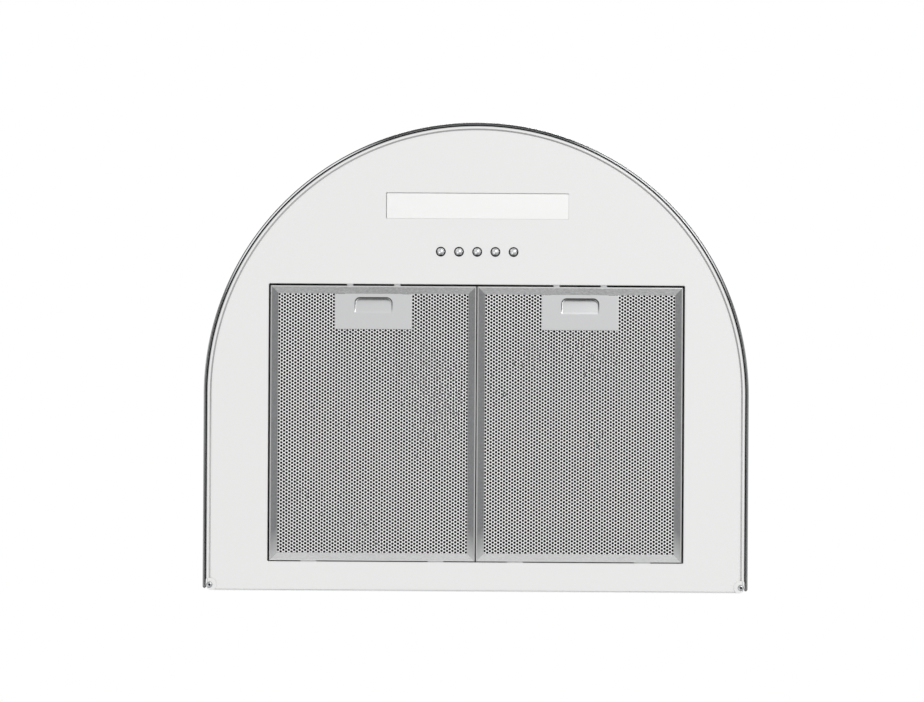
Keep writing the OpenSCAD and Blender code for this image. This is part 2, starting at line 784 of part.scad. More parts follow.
module latch_housing(side) color("#bfc1c2") at_filter(side) difference() {
    translate([-housing_w / 2, housing_front, mesh_z])
        cube([housing_w, housing_rear - housing_front, filter_t - 2 * frame_t]);
    translate([-housing_in_w / 2, cavity_y, mesh_z + rail_t])
        cube([housing_in_w, cavity_rear - cavity_y, carriage_top + 0.2 - mesh_z - rail_t]);
    translate([rail_in - housing_in_w / 2, cavity_y, mesh_z - cut])
        cube([housing_in_w - 2 * rail_in, cavity_rear - cavity_y, rail_t + 2 * cut]);
    tongue_slots(housing_front - cut, cavity_y - housing_front + 2 * cut);
}

// Sliding latch: plate with a finger scoop, carriage behind it and two tongues
module latch(side) color("#cdcecf") at_filter(side) {
    neck_w = housing_in_w - 2 * rail_in - 1;
    difference() {
        union() {
            translate([-latch_w / 2, latch_y, latch_z]) cube([latch_w, latch_l, latch_t]);
            translate([-neck_w / 2, carriage_y, latch_z])
                cube([neck_w, carriage_l, carriage_top - latch_z]);
            translate([-carriage_w / 2, carriage_y, mesh_z + rail_t + slip])
                cube([carriage_w, carriage_l, carriage_top - mesh_z - rail_t - slip]);
            for (x = [-tongue_x, tongue_x]) translate([x - tongue_w / 2, tongue_tip, tongue_z])
                cube([tongue_w, carriage_y - tongue_tip + 1, tongue_t]);
        }
        finger_scoop();
        for (x = [-tongue_x, tongue_x]) translate([x, spring_y, spring_z()]) rotate([-90, 0, 0])
            cylinder(carriage_l, r = pocket_r);
    }
}

function spring_z() = (mesh_z + rail_t + carriage_top) / 2;

// Scoop that is deep at the front and ramps up to the plate at the back
module finger_scoop() {
    intersection() {
        translate([-scoop_w / 2, scoop_y, 0]) rotate([90, 0, 90]) linear_extrude(scoop_w)
            polygon([
                [0, latch_z - cut], [0, latch_z + scoop_deep], [scoop_flat, latch_z + scoop_deep],
                [scoop_l, latch_z], [scoop_l, latch_z - cut]
            ]);
        linear_extrude(filter_top) {
            translate([-scoop_w / 2, scoop_y + scoop_r]) square([scoop_w, scoop_l]);
            translate([scoop_r - scoop_w / 2, scoop_y]) square([scoop_w - 2 * scoop_r, scoop_l]);
            both_sides(scoop_w / 2 - scoop_r, scoop_y + scoop_r) circle(scoop_r);
        }
    }
}

module latch_springs(side) color(steel) at_filter(side)
    for (x = [-tongue_x, tongue_x]) translate([x, spring_y, spring_z()]) rotate([-90, 0, 0]) difference() {
        cylinder(cavity_rear - spring_y, r = spring_r);
        translate([0, 0, -cut]) cylinder(cavity_rear - spring_y + 2 * cut, r = spring_r - spring_wire);
    }

module filter_frame_left() filter_frame(-1);

module filter_mesh_left() filter_mesh(-1);

module filter_core_left() filter_core(-1);

module latch_housing_left() latch_housing(-1);

module latch_left() latch(-1);

module latch_springs_left() latch_springs(-1);

module filter_frame_right() filter_frame(1);

module filter_mesh_right() filter_mesh(1);

module filter_core_right() filter_core(1);

module latch_housing_right() latch_housing(1);

module latch_right() latch(1);

module latch_springs_right() latch_springs(1);

// Side view of the scroll about the fan's axis, drawn inset from its outer face
module scroll_outline(inset) {
    step = 5;
    wall = [for (a = [scroll_start:step:360]) (scroll(a) - inset) * [cos(a), sin(a)]];
    top = case_top - fan_z;
    polygon(concat(wall, [
        [scroll_right - inset, top + (inset > 0 ? cut : 0)],
        [outlet_in + inset, top + (inset > 0 ? cut : 0)],
        [outlet_in + inset, scroll_r - inset]
    ]));
}

// Turns a side view drawn in (y, z) about the fan's axis into a slab along X
module along_x(x, l) {
    translate([x, fan_y, fan_z]) rotate([90, 0, 90]) linear_extrude(l) children();
}

module fan_case() {
    difference() {
        union() {
            along_x(-case_half, 2 * case_half) scroll_outline(0);
            translate([0, -duct_from_wall, case_top - flange_t]) linear_extrude(flange_t)
                square(flange_size, true);
        }
        along_x(case_t - case_half, 2 * (case_half - case_t)) scroll_outline(case_t);
        along_x(-case_half - cut, 2 * (case_half + cut)) circle(inlet_r);
        translate([0, 0, case_top - flange_t - cut]) linear_extrude(flange_t + 2 * cut)
            bolt_places() circle(bolt_r + hole_gap);
    }
    for (side = [0, 1]) mirror([side, 0, 0]) along_x(case_half - case_t, case_t) difference() {
        circle(inlet_r + 1);
        circle(inlet_r);
    }
}

module fan_case_left() color(steel) intersection() {
    fan_case();
    translate([-hood_w, -hood_d, 0]) cube([hood_w, hood_d, canopy_h]);
}

module fan_case_right() color(steel) intersection() {
    fan_case();
    translate([0, -hood_d, 0]) cube([hood_w, hood_d, canopy_h]);
}

module impeller() color("#8f9496") {
    blade_in = impeller_r - blade_d;
    for (x = [-impeller_l / 2, impeller_l / 2 - ring_w]) along_x(x, ring_w) difference() {
        circle(impeller_r);
        circle(blade_in);
    }
    along_x(hub_x - hub_t, hub_t) circle(blade_in + 2);
    along_x(hub_x - hub_t - hub_l, hub_l + 0.5) circle(shaft_r + 6);
    along_x(hub_x - hub_t - hub_l, shaft_l) circle(shaft_r);
    for (i = [0:blade_count - 1]) along_x(1 - impeller_l / 2, impeller_l - 2) rotate(i * 360 / blade_count)
        translate([blade_in + 0.5, 0]) rotate(blade_lean) square([blade_d - blade_t, blade_t]);
}

module motor() color("#7f8486") difference() {
    union() {
        along_x(motor_x, motor_l) circle(motor_r);
        along_x(motor_end, motor_cap_t) circle(motor_r / 2);
    }
    along_x(motor_x - cut, motor_l - motor_wall + cut) circle(shaft_r + bore_gap);
    along_x(motor_x + bearing_l, motor_l - 3 * bearing_l) circle(shaft_r + 4);
}

module motor_bracket() color(steel) {
    band_r = motor_r + sleeve_t;
    along_x(case_half, 2) {
        difference() {
            circle(inlet_r + 9);
            circle(inlet_r + 1);
        }
        for (a = [90, 210, 330]) rotate(a) translate([band_r + 1, -spoke_w / 2])
            square([inlet_r + 2 - band_r, spoke_w]);
    }
    along_x(case_half, band_l) difference() {
        circle(band_r + 2);
        circle(band_r);
    }
}

module motor_sleeve() color(black_part) along_x(case_half + 1, band_l - 2) difference() {
    circle(motor_r + sleeve_t);
    circle(motor_r);
}

module at_capacitor() {
    reach = capacitor_r + strap_t;
    translate([-case_half - reach, fan_y + 15, case_top - flange_t - reach - catch_gap])
        rotate([-90, 0, 0]) children();
}

module capacitor() color("#dedfe0") at_capacitor() {
    cylinder(capacitor_l, r = capacitor_r);
    translate([0, 0, capacitor_l]) cylinder(4, r = capacitor_r - 5);
}

// Ring round the capacitor with a leg that stands on the side of the fan's case
module capacitor_strap() color(steel) at_capacitor() translate([0, 0, (capacitor_l - strap_w) / 2])
    linear_extrude(strap_w) {
        difference() {
            circle(capacitor_r + strap_t);
            circle(capacitor_r + bore_gap);
        }
        translate([capacitor_r + bore_gap, 0]) square([strap_t - bore_gap, capacitor_r + strap_leg]);
    }

module outlet_gasket() color(black_part) translate([0, 0, case_top]) linear_extrude(gasket_t) difference() {
    translate([0, -duct_from_wall]) square(flange_size, true);
    translate([0, -duct_from_wall]) square([2 * case_half, outlet_d], true);
    bolt_places() circle(bolt_r + hole_gap);
}

module fan_bolts() color(steel) bolt_places() {
    translate([0, 0, collar_z]) cylinder(3, r = bolt_r + 1.7);
    translate([0, 0, case_top - flange_t - nut_h - 2])
        cylinder(collar_z - case_top + flange_t + nut_h + 3, r = bolt_r);
}

module fan_nuts() color(steel) bolt_places() translate([0, 0, case_top - flange_t - nut_h]) difference() {
    cylinder(nut_h, r = bolt_r + 2.1, $fn = 6);
    translate([0, 0, -cut]) cylinder(nut_h + 2 * cut, r = bolt_r + bore_gap);
}

// Collar with a seat inside it, on which the closed flaps lie
module duct_collar() color(steel) translate([0, -duct_from_wall, 0]) difference() {
    union() {
        translate([0, 0, canopy_h]) linear_extrude(sheet_t) square(2 * collar_flange, true);
        translate([0, 0, canopy_h]) cylinder(collar_h, r = collar_r);
    }
    translate([0, 0, canopy_h - cut])
        cylinder(rod_z - flap_t / 2 - catch_gap - seat_t - canopy_h + cut, r = collar_in);
    translate([0, 0, canopy_h]) cylinder(collar_h, r = collar_in - seat_w);
    translate([0, 0, rod_z - flap_t / 2 - catch_gap]) cylinder(collar_h, r = collar_in);
    translate([-collar_r - cut, 0, rod_z]) rotate([0, 90, 0])
        cylinder(2 * (collar_r + cut), r = rod_r + bore_gap);
    translate([0, duct_from_wall, canopy_h - cut]) bolt_places()
        cylinder(sheet_t + 2 * cut, r = bolt_r + hole_gap);
}

module damper_rod() color(steel) translate([catch_gap - collar_r, -duct_from_wall, rod_z]) rotate([0, 90, 0])
    cylinder(2 * (collar_r - catch_gap), r = rod_r);

// One flap: half a disc that starts past the rod, with two knuckles round the rod
module damper_flap(side, knuckles) color(alloy) translate([0, -duct_from_wall, rod_z]) difference() {
    union() {
        translate([0, 0, -flap_t / 2]) linear_extrude(flap_t) intersection() {
            circle(flap_r);
            translate([-flap_r, side > 0 ? knuckle_r + catch_gap : -flap_r])
                square([2 * flap_r, flap_r - knuckle_r - catch_gap]);
        }
        for (x = knuckles) translate([x, 0, 0]) {
            rotate([0, 90, 0]) cylinder(knuckle_l, r = knuckle_r);
            translate([0, side > 0 ? 0 : -knuckle_r - 2, -flap_t / 2])
                cube([knuckle_l, knuckle_r + 2, flap_t]);
        }
    }
    translate([-flap_r, 0, 0]) rotate([0, 90, 0]) cylinder(2 * flap_r, r = rod_r + bore_gap);
}

module damper_flap_front() damper_flap(-1, [-56, 10]);

module damper_flap_rear() damper_flap(1, [-28, 38]);

module junction_box() color("#d5d6d2") difference() {
    translate([box_x, box_y - box_size[1], top_under - box_size[2]]) cube(box_size);
    translate([box_x + box_t, box_y - box_size[1] + box_t, top_under - box_size[2] - cut])
        cube([box_size[0] - 2 * box_t, box_size[1] - 2 * box_t, box_size[2] - box_t + cut]);
    translate([gland_x, gland_y, top_under - box_t - cut]) cylinder(box_t + 2 * cut, r = gland_r + hole_gap);
}

module junction_cover() color("#d5d6d2")
    translate([box_x, box_y - box_size[1], top_under - box_size[2] - box_t])
        cube([box_size[0], box_size[1], box_t]);

module cable_gland() color(black_part) translate([gland_x, gland_y, 0]) difference() {
    union() {
        translate([0, 0, gland_low]) cylinder(canopy_h - gland_low + 1, r = gland_r);
        translate([0, 0, canopy_h]) cylinder(gland_hex_h, r = gland_hex_r, $fn = 6);
        translate([0, 0, canopy_h + gland_hex_h])
            cylinder(gland_top - canopy_h - gland_hex_h, r = gland_r + 1.5);
        translate([0, 0, gland_low + 2]) cylinder(4, r = gland_hex_r, $fn = 6);
    }
    translate([0, 0, gland_low - cut]) cylinder(gland_top - gland_low + 2 * cut, r = gland_bore_r);
}

function spline(p, i, t) =
    let (a = p[max(i - 1, 0)], b = p[i], c = p[i + 1], d = p[min(i + 2, len(p) - 1)])
    b + t * (c - a) / 2 + t * t * (a - 2.5 * b + 2 * c - d / 2) + t * t * t * (1.5 * (b - c) + (d - a) / 2);

// Tube along a smooth route through the given points; side_way is never parallel to the route
module lead(route, side_way, steps = 5) {
    points = concat(
        [for (i = [0:len(route) - 2], k = [0:steps - 1]) spline(route, i, k / steps)],
        [route[len(route) - 1]]
    );
    last = len(points) - 1;
    ring = lead_sides;
    rings = [for (k = [0:last])
        let (
            way = k == 0 ? route[1] - route[0]
                : k == last ? route[len(route) - 1] - route[len(route) - 2]
                : points[k + 1] - points[k - 1],
            across = cross(way, side_way),
            u = across / norm(across),
            other = cross(way, u),
            v = other / norm(other)
        )
        for (s = [0:ring - 1]) points[k] + lead_r * (cos(s * 360 / ring) * u + sin(s * 360 / ring) * v)
    ];
    sides = [for (k = [0:last - 1], s = [0:ring - 1], half = [0, 1])
        let (next = (s + 1) % ring, low = k * ring, high = low + ring)
        half == 0 ? [low + s, low + next, high + next] : [low + s, high + next, high + s]
    ];
    polyhedron(concat(rings), concat(
        [for (s = [1:ring - 2]) [0, s + 1, s]],
        sides,
        [for (s = [1:ring - 2]) [last * ring, last * ring + s, last * ring + s + 1]]
    ));
}

module wiring_leads() color("#cfcfcf") {
    lead(motor_route, [1, 1, 1]);
    lead(lamp_route, [1, 0.1, 0]);
    lead(switch_route, [0, 1, 0]);
}

module cable_clips() color(black_part) for (y = clip_y)
    translate([lamp_lead_x, y + cable_clip_l / 2, top_under - clip_drop]) rotate([90, 0, 0]) difference() {
        union() {
            cylinder(cable_clip_l, r = lead_r + catch_gap + 1.3);
            translate([-clip_pad_w / 2, clip_drop - 2, 0]) cube([clip_pad_w, 2, cable_clip_l]);
        }
        translate([0, 0, -cut]) cylinder(cable_clip_l + 2 * cut, r = lead_r + catch_gap);
    }

module chimney_shell(r, back, z, h) {
    flange = chimney_flange_w;
    translate([0, 0, z]) difference() {
        linear_extrude(h) d_outline(r, chimney_y, back);
        translate([0, 0, -cut]) linear_extrude(h + 2 * cut)
            d_outline(r - sheet_t, chimney_y, back + sheet_t);
        translate([flange - r, -back - sheet_t - cut, -cut])
            cube([2 * (r - flange), sheet_t + 2 * cut, h + 2 * cut]);
    }
}

module chimney_lower() color(enamel) difference() {
    union() {
        chimney_shell(chimney_r, 0, canopy_h, chimney_lower_h);
        for (side = [0, 1]) mirror([side, 0, 0])
            translate([chimney_r - sheet_t - foot_l - 1, -chimney_y - foot_l / 2, canopy_h])
                cube([foot_l + 1.5, foot_l, sheet_t]);
    }
    base_screw_places() cylinder(3 * sheet_t + 2 * cut, r = screw_r + hole_gap);
}

module chimney_base_screws() color(steel) base_screw_places() {
    translate([0, 0, 2 * sheet_t + cut]) cylinder(2, r = small_head_r);
    translate([0, 0, -3]) cylinder(2 * sheet_t + cut + 4, r = screw_r);
}

module chimney_upper() color(enamel) difference() {
    chimney_shell(upper_r, upper_back, upper_z, chimney_upper_h);
    chimney_screw_places() cylinder(10, r = screw_r + hole_gap);
}

// Screw places in the upper cover's sides, with the cylinder's axis pointing outwards
module chimney_screw_places() {
    for (side = [0, 1]) mirror([side, 0, 0])
        translate([upper_r - sheet_t - 5, -bracket_y - bracket_depth / 2, bracket_z + bracket_h / 2])
            rotate([0, 90, 0]) children();
}

module chimney_bracket() color(steel) difference() {
    half = upper_r - sheet_t;
    union() {
        translate([-half, -bracket_y, bracket_z]) cube([2 * half, wall_bracket_t, bracket_h]);
        for (side = [0, 1]) mirror([side, 0, 0])
            translate([half - wall_bracket_t, -bracket_y - bracket_depth, bracket_z])
                cube([wall_bracket_t, bracket_depth + 1, bracket_h]);
        both_sides(chimney_bolt_x / 2, -bracket_y + 1) translate([0, 0, bracket_z + bracket_h / 2])
            rotate([-90, 0, 0]) cylinder(bracket_y - 1, r = spacer_r);
    }
    both_sides(chimney_bolt_x / 2, -bracket_y - cut) translate([0, 0, bracket_z + bracket_h / 2])
        rotate([-90, 0, 0]) cylinder(bracket_y + 2 * cut, r = wall_hole_r);
    chimney_screw_places() cylinder(10, r = screw_r + bore_gap);
}

module chimney_screws() color(steel) chimney_screw_places() {
    cylinder(5 + sheet_t + 0.4, r = screw_r);
    translate([0, 0, 5 + sheet_t]) cylinder(0.6, r = small_head_r);
}

canopy_shell();
rear_panel();
underside_panel();
panel_clips();
trim_strip();
trim_tape();
corner_screws();
light_lens();
light_housing();
led_board();
led_chips();
led_driver();
switch_module();
switch_bracket();
button_springs();
button_light();
button_off();
button_low();
button_medium();
button_high();
filter_frame_left();
filter_mesh_left();
filter_core_left();
latch_housing_left();
latch_left();
latch_springs_left();
filter_frame_right();
filter_mesh_right();
filter_core_right();
latch_housing_right();
latch_right();
latch_springs_right();
fan_case_left();
fan_case_right();
impeller();
motor();
motor_bracket();
motor_sleeve();
capacitor();
capacitor_strap();
outlet_gasket();
fan_bolts();
fan_nuts();
duct_collar();
damper_flap_front();
damper_flap_rear();
damper_rod();
junction_box();
junction_cover();
cable_gland();
wiring_leads();
cable_clips();
chimney_lower();
chimney_upper();
chimney_bracket();
chimney_screws();
chimney_base_screws();
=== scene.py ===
"""Wall mount range hood: the looks of every piece, as a surface worked out from a formula.

Lengths inside the shape functions are millimetres, and a piece's mesh is written in metres.
The origin is on the wall at the middle of the bottom rim. The front faces -Y and +Z is up.
"""

import bmesh
import bpy
import numpy as np
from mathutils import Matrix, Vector


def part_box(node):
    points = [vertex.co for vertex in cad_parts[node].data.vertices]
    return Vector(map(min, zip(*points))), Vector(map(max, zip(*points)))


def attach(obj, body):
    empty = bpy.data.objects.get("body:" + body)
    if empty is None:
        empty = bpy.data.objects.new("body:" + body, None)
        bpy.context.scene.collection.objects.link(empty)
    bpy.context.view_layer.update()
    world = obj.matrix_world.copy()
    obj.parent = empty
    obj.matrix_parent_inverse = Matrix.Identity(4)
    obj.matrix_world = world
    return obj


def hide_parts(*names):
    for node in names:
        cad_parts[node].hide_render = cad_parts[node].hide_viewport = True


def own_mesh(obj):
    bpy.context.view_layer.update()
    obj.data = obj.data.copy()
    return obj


bl_info = {
    "name": "Wall mount range hood",
    "version": (1, 0, 0),
    "blender": (4, 5, 0),
    "location": "3D View > Sidebar > Range hood",
    "description": "Makes a wall mount range hood piece by piece around its packed frame",
    "category": "Add Mesh",
}

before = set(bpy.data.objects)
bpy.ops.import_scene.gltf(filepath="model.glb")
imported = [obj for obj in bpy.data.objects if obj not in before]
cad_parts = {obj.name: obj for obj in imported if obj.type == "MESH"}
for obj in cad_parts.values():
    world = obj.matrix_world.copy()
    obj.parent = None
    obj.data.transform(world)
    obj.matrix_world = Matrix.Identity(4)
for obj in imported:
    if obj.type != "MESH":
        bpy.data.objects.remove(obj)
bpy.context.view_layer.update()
MM = 0.001


def box_mm(node):
    """Lowest and highest corner of a node, in millimetres."""
    low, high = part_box(node)
    return np.array(low) / MM, np.array(high) / MM


SHELL_HIGH = box_mm("canopy_shell")[1]
BODY_R = round(SHELL_HIGH[0], 1)
TRIM_LOW, TRIM_HIGH = box_mm("trim_strip")
HOOD_R = round(TRIM_HIGH[0], 1)
ARC_Y = -216.0
SHEET = 1.0
CANOPY_H = round(SHELL_HIGH[2], 1)
TOP_EDGE_R = 40.0
TOP_R = BODY_R - TOP_EDGE_R - 6
LIP_IN = BODY_R - 3.2
LIP_T = 1.2
REAR_CORNER = 6.0
JOINT_TOP = 4.0
PANEL_LOW = LIP_T
PANEL_TOP = PANEL_LOW + SHEET
PANEL_R = BODY_R - SHEET - 0.4
PANEL_FLAT_R = LIP_IN - 3
SCREW_X = BODY_R - 4.0
SCREW_Y = -6.0
SCREW_HOLE_R = 1.7
SCREW_HEAD_R = 3.3
TAB_R = 7.5
CORNER_Y = SCREW_Y - 7.0
OPEN_X = 228.75
OPEN_REAR = -32.0
OPEN_FRONT = -337.5
FLANGE_TOP = 15.2
DUCT_Y = -150.0
DUCT_HOLE_R = 70.3
GLAND_X, GLAND_Y, GLAND_R = 107.4, -60.0, 8.3
COLLAR_BOLT_X, COLLAR_BOLT_Y, COLLAR_BOLT_R = 72.0, 57.0, 2.75
WINDOW_LOW, WINDOW_W, WINDOW_H = 16.0, 542.0, 149.0
CHIMNEY_LAP = 15.0
BUTTONS_Y = -373.5
BUTTON_PITCH = 20.0
BUTTON_R = 5.0
LAMP_Y = -424.0
LAMP_W = 201.0
LAMP_D = 28.6
FILTER_X = 113.625
FILTER_W = 226.25
FILTER_FRONT = -335.5
FILTER_REAR = -33.0
FILTER_LOW = 1.6
FILTER_TOP = 10.6
FRAME_W = 8.8
MITRE_GAP = 0.06
LIGHTER_END_LENGTH = 30.0
HOOK_X, HOOK_W = 70.0, 18.0
MESH_LOW = 2.4
MESH_T = 0.8
MESH_COLUMNS, MESH_ROWS = 35, 77
LATCH_GAP_X, LATCH_GAP_Y = 40.0, -290.5
LATCH_W = 85.0
LATCH_FRONT = -326.4
LATCH_L = 38.5
LATCH_LOW = 1.4
LATCH_T = 0.9
SCOOP_W = 42.4
SCOOP_R = 6.5
SCOOP_FRONT = -323.2
SCOOP_DEEP = 5.4
SCOOP_L = 17.5
# How much painted shade darkens each latch's scoop floor.
SCOOP_FLOOR_SHADE = {"left": 0.06, "right": 0.2}
TONGUE_X = 26.0
POCKET_FRONT = -315.0
CARRIAGE_TOP = 8.8
CARRIAGE_REAR = -300.7
CARRIAGE_X = (23.5, 30.0)
SPRING_Z = 6.15
SPRING_END = -294.05
UPRIGHT = [[1, 0, 0], [0, 0, 1], [0, 1, 0]]


# Shapes


class Shape:
    """Points in millimetres and faces as point numbers, gathered part by part."""

    def __init__(self):
        self.points = []
        self.shine = []
        self.faces = []
        self.count = 0

    def add(self, points, *face_sets, shine=0.0):
        """Adds points of any grid shape and the faces that use them, counted from nought.

        The painted light and tone value is each point's share of its finish's second colour, from nought to
        one: mostly painted shade or highlights, and on the filter cores their own bright colour.
        """
        points = np.asarray(points, float)
        flat = points.reshape(-1, 3)
        self.points.append(flat)
        self.shine.append(np.broadcast_to(shine, points.shape[:-1]).reshape(-1))
        for faces in face_sets:
            self.faces.extend((faces + self.count).tolist())
        self.count += len(flat)
        return self

    def add_shape(self, other, move=(0, 0, 0), turn=None):
        """Adds another shape, turned by a 3 x 3 matrix and then moved."""
        points = np.concatenate(other.points)
        if turn is not None:
            points = points @ np.asarray(turn, float).T
        self.points.append(points + np.asarray(move, float))
        self.shine.append(np.concatenate(other.shine))
        self.faces.extend([[n + self.count for n in face] for face in other.faces])
        self.count += len(points)
        return self


def grid_faces(rows, columns, wrap_rows=False, wrap_columns=False):
    """Four-sided faces of a grid of points, each joining a point to the next row and column."""
    row = np.arange(rows if wrap_rows else rows - 1)[:, None]
    column = np.arange(columns if wrap_columns else columns - 1)[None, :]
    after_row, after_column = (row + 1) % rows, (column + 1) % columns
    corners = (
        row * columns + column,
        row * columns + after_column,
        after_row * columns + after_column,
        after_row * columns + column,
    )
    return np.stack([np.broadcast_to(c, corners[0].shape) for c in corners], -1).reshape(-1, 4)


def rounded(corners, radius, steps=5, closed=True):
    """Corners of an outline, each replaced by an arc of its radius that touches both its sides."""
    corners = np.asarray(corners, float)
    count = len(corners)
    radii = np.broadcast_to(np.asarray(radius, float), (count,))
    points = []
    for i, corner in enumerate(corners):
        if radii[i] <= 0 or (not closed and i in (0, count - 1)):
            points.append(corner[None])
            continue
        before, after = corners[i - 1] - corner, corners[(i + 1) % count] - corner
        before, after = before / np.linalg.norm(before), after / np.linalg.norm(after)
        half = np.arccos(np.clip(before @ after, -1, 1)) / 2
        middle = (before + after) / np.linalg.norm(before + after)
        centre = corner + middle * radii[i] / np.sin(half)
        start = corner + before * radii[i] / np.tan(half) - centre
        end = corner + after * radii[i] / np.tan(half) - centre
        t = np.linspace(0, 1, steps + 1)[:, None]
        angle = np.pi - 2 * half
        arc = (np.sin((1 - t) * angle) * start + np.sin(t * angle) * end) / np.sin(angle)
        points.append(centre + arc)
    return np.concatenate(points)


def rectangle(x, y, w, d, radius, steps=5):
    """Outline of a rectangle about (x, y) with rounded corners."""
    a, b = w / 2, d / 2
    corners = np.array([[-a, -b], [a, -b], [a, b], [-a, b]]) + (x, y)
    return rounded(corners, radius, steps)


def circle(x, y, r, steps=48):
    """Points at equal angles on a circle."""
    angle = np.linspace(0, 2 * np.pi, steps, endpoint=False)
    return np.stack([x + r * np.cos(angle), y + r * np.sin(angle)], -1)


def d_outline(r, centre, back, corner, steps=128):
    """Half circle of radius r at the front, straight sides and rounded rear corners."""
    angle = np.linspace(np.pi, 2 * np.pi, steps)
    arc = np.stack([r * np.cos(angle), centre + r * np.sin(angle)], -1)
    rear = rounded([arc[-1], [r, back], [-r, back], arc[0]], [0, corner, corner, 0], closed=False)
    return np.concatenate([arc, rear[1:-1]])


def turned(loop, left):
    """The loop run anticlockwise if left is true, else clockwise."""
    x, y = loop[:, 0], loop[:, 1]
    area = np.sum(x * np.roll(y, -1) - y * np.roll(x, -1))
    return loop if (area > 0) == left else loop[::-1]


def plate(loops, low, thickness, edge=0.2):
    """Flat plate: the first outline less the others, with its edges rounded all round."""
    data = bpy.data.curves.new("plate", "CURVE")
    data.dimensions, data.fill_mode = "2D", "BOTH"
    data.extrude = (thickness / 2 - edge) * MM
    data.bevel_depth, data.bevel_resolution, data.offset = edge * MM, 1, -edge * MM
    for i, loop in enumerate(loops):
        loop = turned(np.asarray(loop, float), i == 0)
        spline = data.splines.new("POLY")
        spline.points.add(len(loop) - 1)
        spline.points.foreach_set("co", np.pad(loop * MM, ((0, 0), (0, 2))).ravel())
        spline.use_cyclic_u = True
    holder = bpy.data.objects.new("plate", data)
    mesh = bpy.data.meshes.new_from_object(holder)
    points = np.empty(len(mesh.vertices) * 3)
    mesh.vertices.foreach_get("co", points)
    points = points.reshape(-1, 3) / MM + (0, 0, low + thickness / 2)
    shape = Shape().add(points)
    shape.faces = [list(polygon.vertices) for polygon in mesh.polygons]
    bpy.data.objects.remove(holder)
    bpy.data.curves.remove(data)
    bpy.data.meshes.remove(mesh)
    return shape


def d_sweep(section, centre, back, steps, side_steps):
    """A section of (distance, height) carried round the D: point = anchor + outward way x distance.

    The anchor runs along the middle line beside the straight sides and stays still on the arc.
    """
    along = np.linspace(back, centre, side_steps)
    angle = np.linspace(np.pi, 2 * np.pi, steps)
    way = np.concatenate([
        np.tile([-1.0, 0.0], (side_steps, 1)),
        np.stack([np.cos(angle), np.sin(angle)], -1)[1:-1],
        np.tile([1.0, 0.0], (side_steps, 1)),
    ])
    anchor = np.zeros_like(way)
    anchor[:, 1] = np.concatenate([along, np.full(steps - 2, centre), along[::-1]])
    flat = anchor[:, None] + way[:, None] * section[None, :, :1]
    height = np.broadcast_to(section[None, :, 1:], flat.shape[:2] + (1,))
    return np.concatenate([flat, height], -1)


def swept(shape, points, shine=0.0):
    """Adds a grid whose rows are closed sections, with a flat cap at both ends."""
    rows, columns = points.shape[:2]
    ends = [np.arange(columns)[None, ::-1], np.arange(columns)[None] + (rows - 1) * columns]
    return shape.add(points, grid_faces(rows, columns, wrap_columns=True), *ends, shine=shine)


def revolve(profile, steps=64):
    """A profile of (radius, height) turned about the vertical axis."""
    profile = np.asarray(profile, float)
    angle = np.linspace(0, 2 * np.pi, steps, endpoint=False)
    x = np.cos(angle)[:, None] * profile[None, :, 0]
    y = np.sin(angle)[:, None] * profile[None, :, 0]
    z = np.broadcast_to(profile[None, :, 1], x.shape)
    shape = Shape()
    return shape.add(np.stack([x, y, z], -1), grid_faces(steps, len(profile), wrap_rows=True))


def block(low, high, radius, edge):
    """Box with rounded upright corners and softened top and bottom edges, as a stack of outlines."""
    low, high = np.asarray(low, float), np.asarray(high, float)
    middle, size = (low + high) / 2, high - low
    edge = min(edge, size.min() / 2.2)
    radius = max(radius, edge * 1.2)
    turn = np.linspace(0, np.pi / 2, 4)
    inset = np.concatenate([edge * (1 - np.sin(turn)), edge * (1 - np.sin(turn[::-1]))])
    rise = np.concatenate([edge * (1 - np.cos(turn)), size[2] - edge * (1 - np.cos(turn[::-1]))])
    loops = np.array([
        rectangle(middle[0], middle[1], size[0] - 2 * i, size[1] - 2 * i, radius - i * 0.99, 4)
        for i in inset
    ])
    height = np.broadcast_to((low[2] + rise)[:, None, None], loops.shape[:2] + (1,))
    return swept(Shape(), np.concatenate([loops, height], -1))


def outline_rows(outline, profile):
    """Rows of points: outline(inset) is laid at each (inset, height) of the profile."""
    return np.array([np.pad(outline(inset), ((0, 0), (0, 1)), constant_values=z) for inset, z in profile])


def stacked(outline, profile):
    """Closed solid whose outlines are laid one above the other and capped at both ends."""
    return swept(Shape(), outline_rows(outline, profile))


def coil(start, end, r, wire, turns, steps=18, sides=6):
    """Round wire wound on a helix between two points: the tube's centre turns as it climbs."""
    start, end = np.asarray(start, float), np.asarray(end, float)
    axis = (end - start) / np.linalg.norm(end - start)
    side = np.cross(axis, [0.31, 0.77, 0.55])
    side /= np.linalg.norm(side)
    other = np.cross(axis, side)
    t = np.linspace(0, 1, int(turns * steps) + 1)[:, None]
    angle = 2 * np.pi * turns * t
    closing = np.clip(np.minimum(t, 1 - t) * turns, 0, 1)
    climb = np.cumsum(0.25 + 0.75 * closing, 0)
    climb = (climb - climb[0]) / (climb[-1] - climb[0])
    out = np.cos(angle) * side + np.sin(angle) * other
    length = np.linalg.norm(end - start) - 2 * wire
    centre = start + axis * (wire + climb * length) + out * (r - wire)
    around = np.linspace(0, 2 * np.pi, sides, endpoint=False)[None, :, None]
    ring = np.cos(around) * out[:, None] + np.sin(around) * axis
    return swept(Shape(), centre[:, None] + wire * ring)


def mirrored(corner, middle):
    """One corner of a sweep at both ends of its middle part, mirrored at the first end."""
    return np.concatenate([corner[:0:-1] * (-1, 1, 1), middle, corner[1:]])


def ring_of(outline, profile):
    """Closed ring: outline(inset) is laid at each (inset, height) of a closed profile."""
    rows = outline_rows(outline, profile)
    return Shape().add(rows, grid_faces(*rows.shape[:2], wrap_rows=True, wrap_columns=True))


def smooth(t):
    """Eases from nought to one: 3t^2 - 2t^3, level at both ends."""
    t = np.clip(t, 0, 1)
    return t * t * (3 - 2 * t)


# Finishes


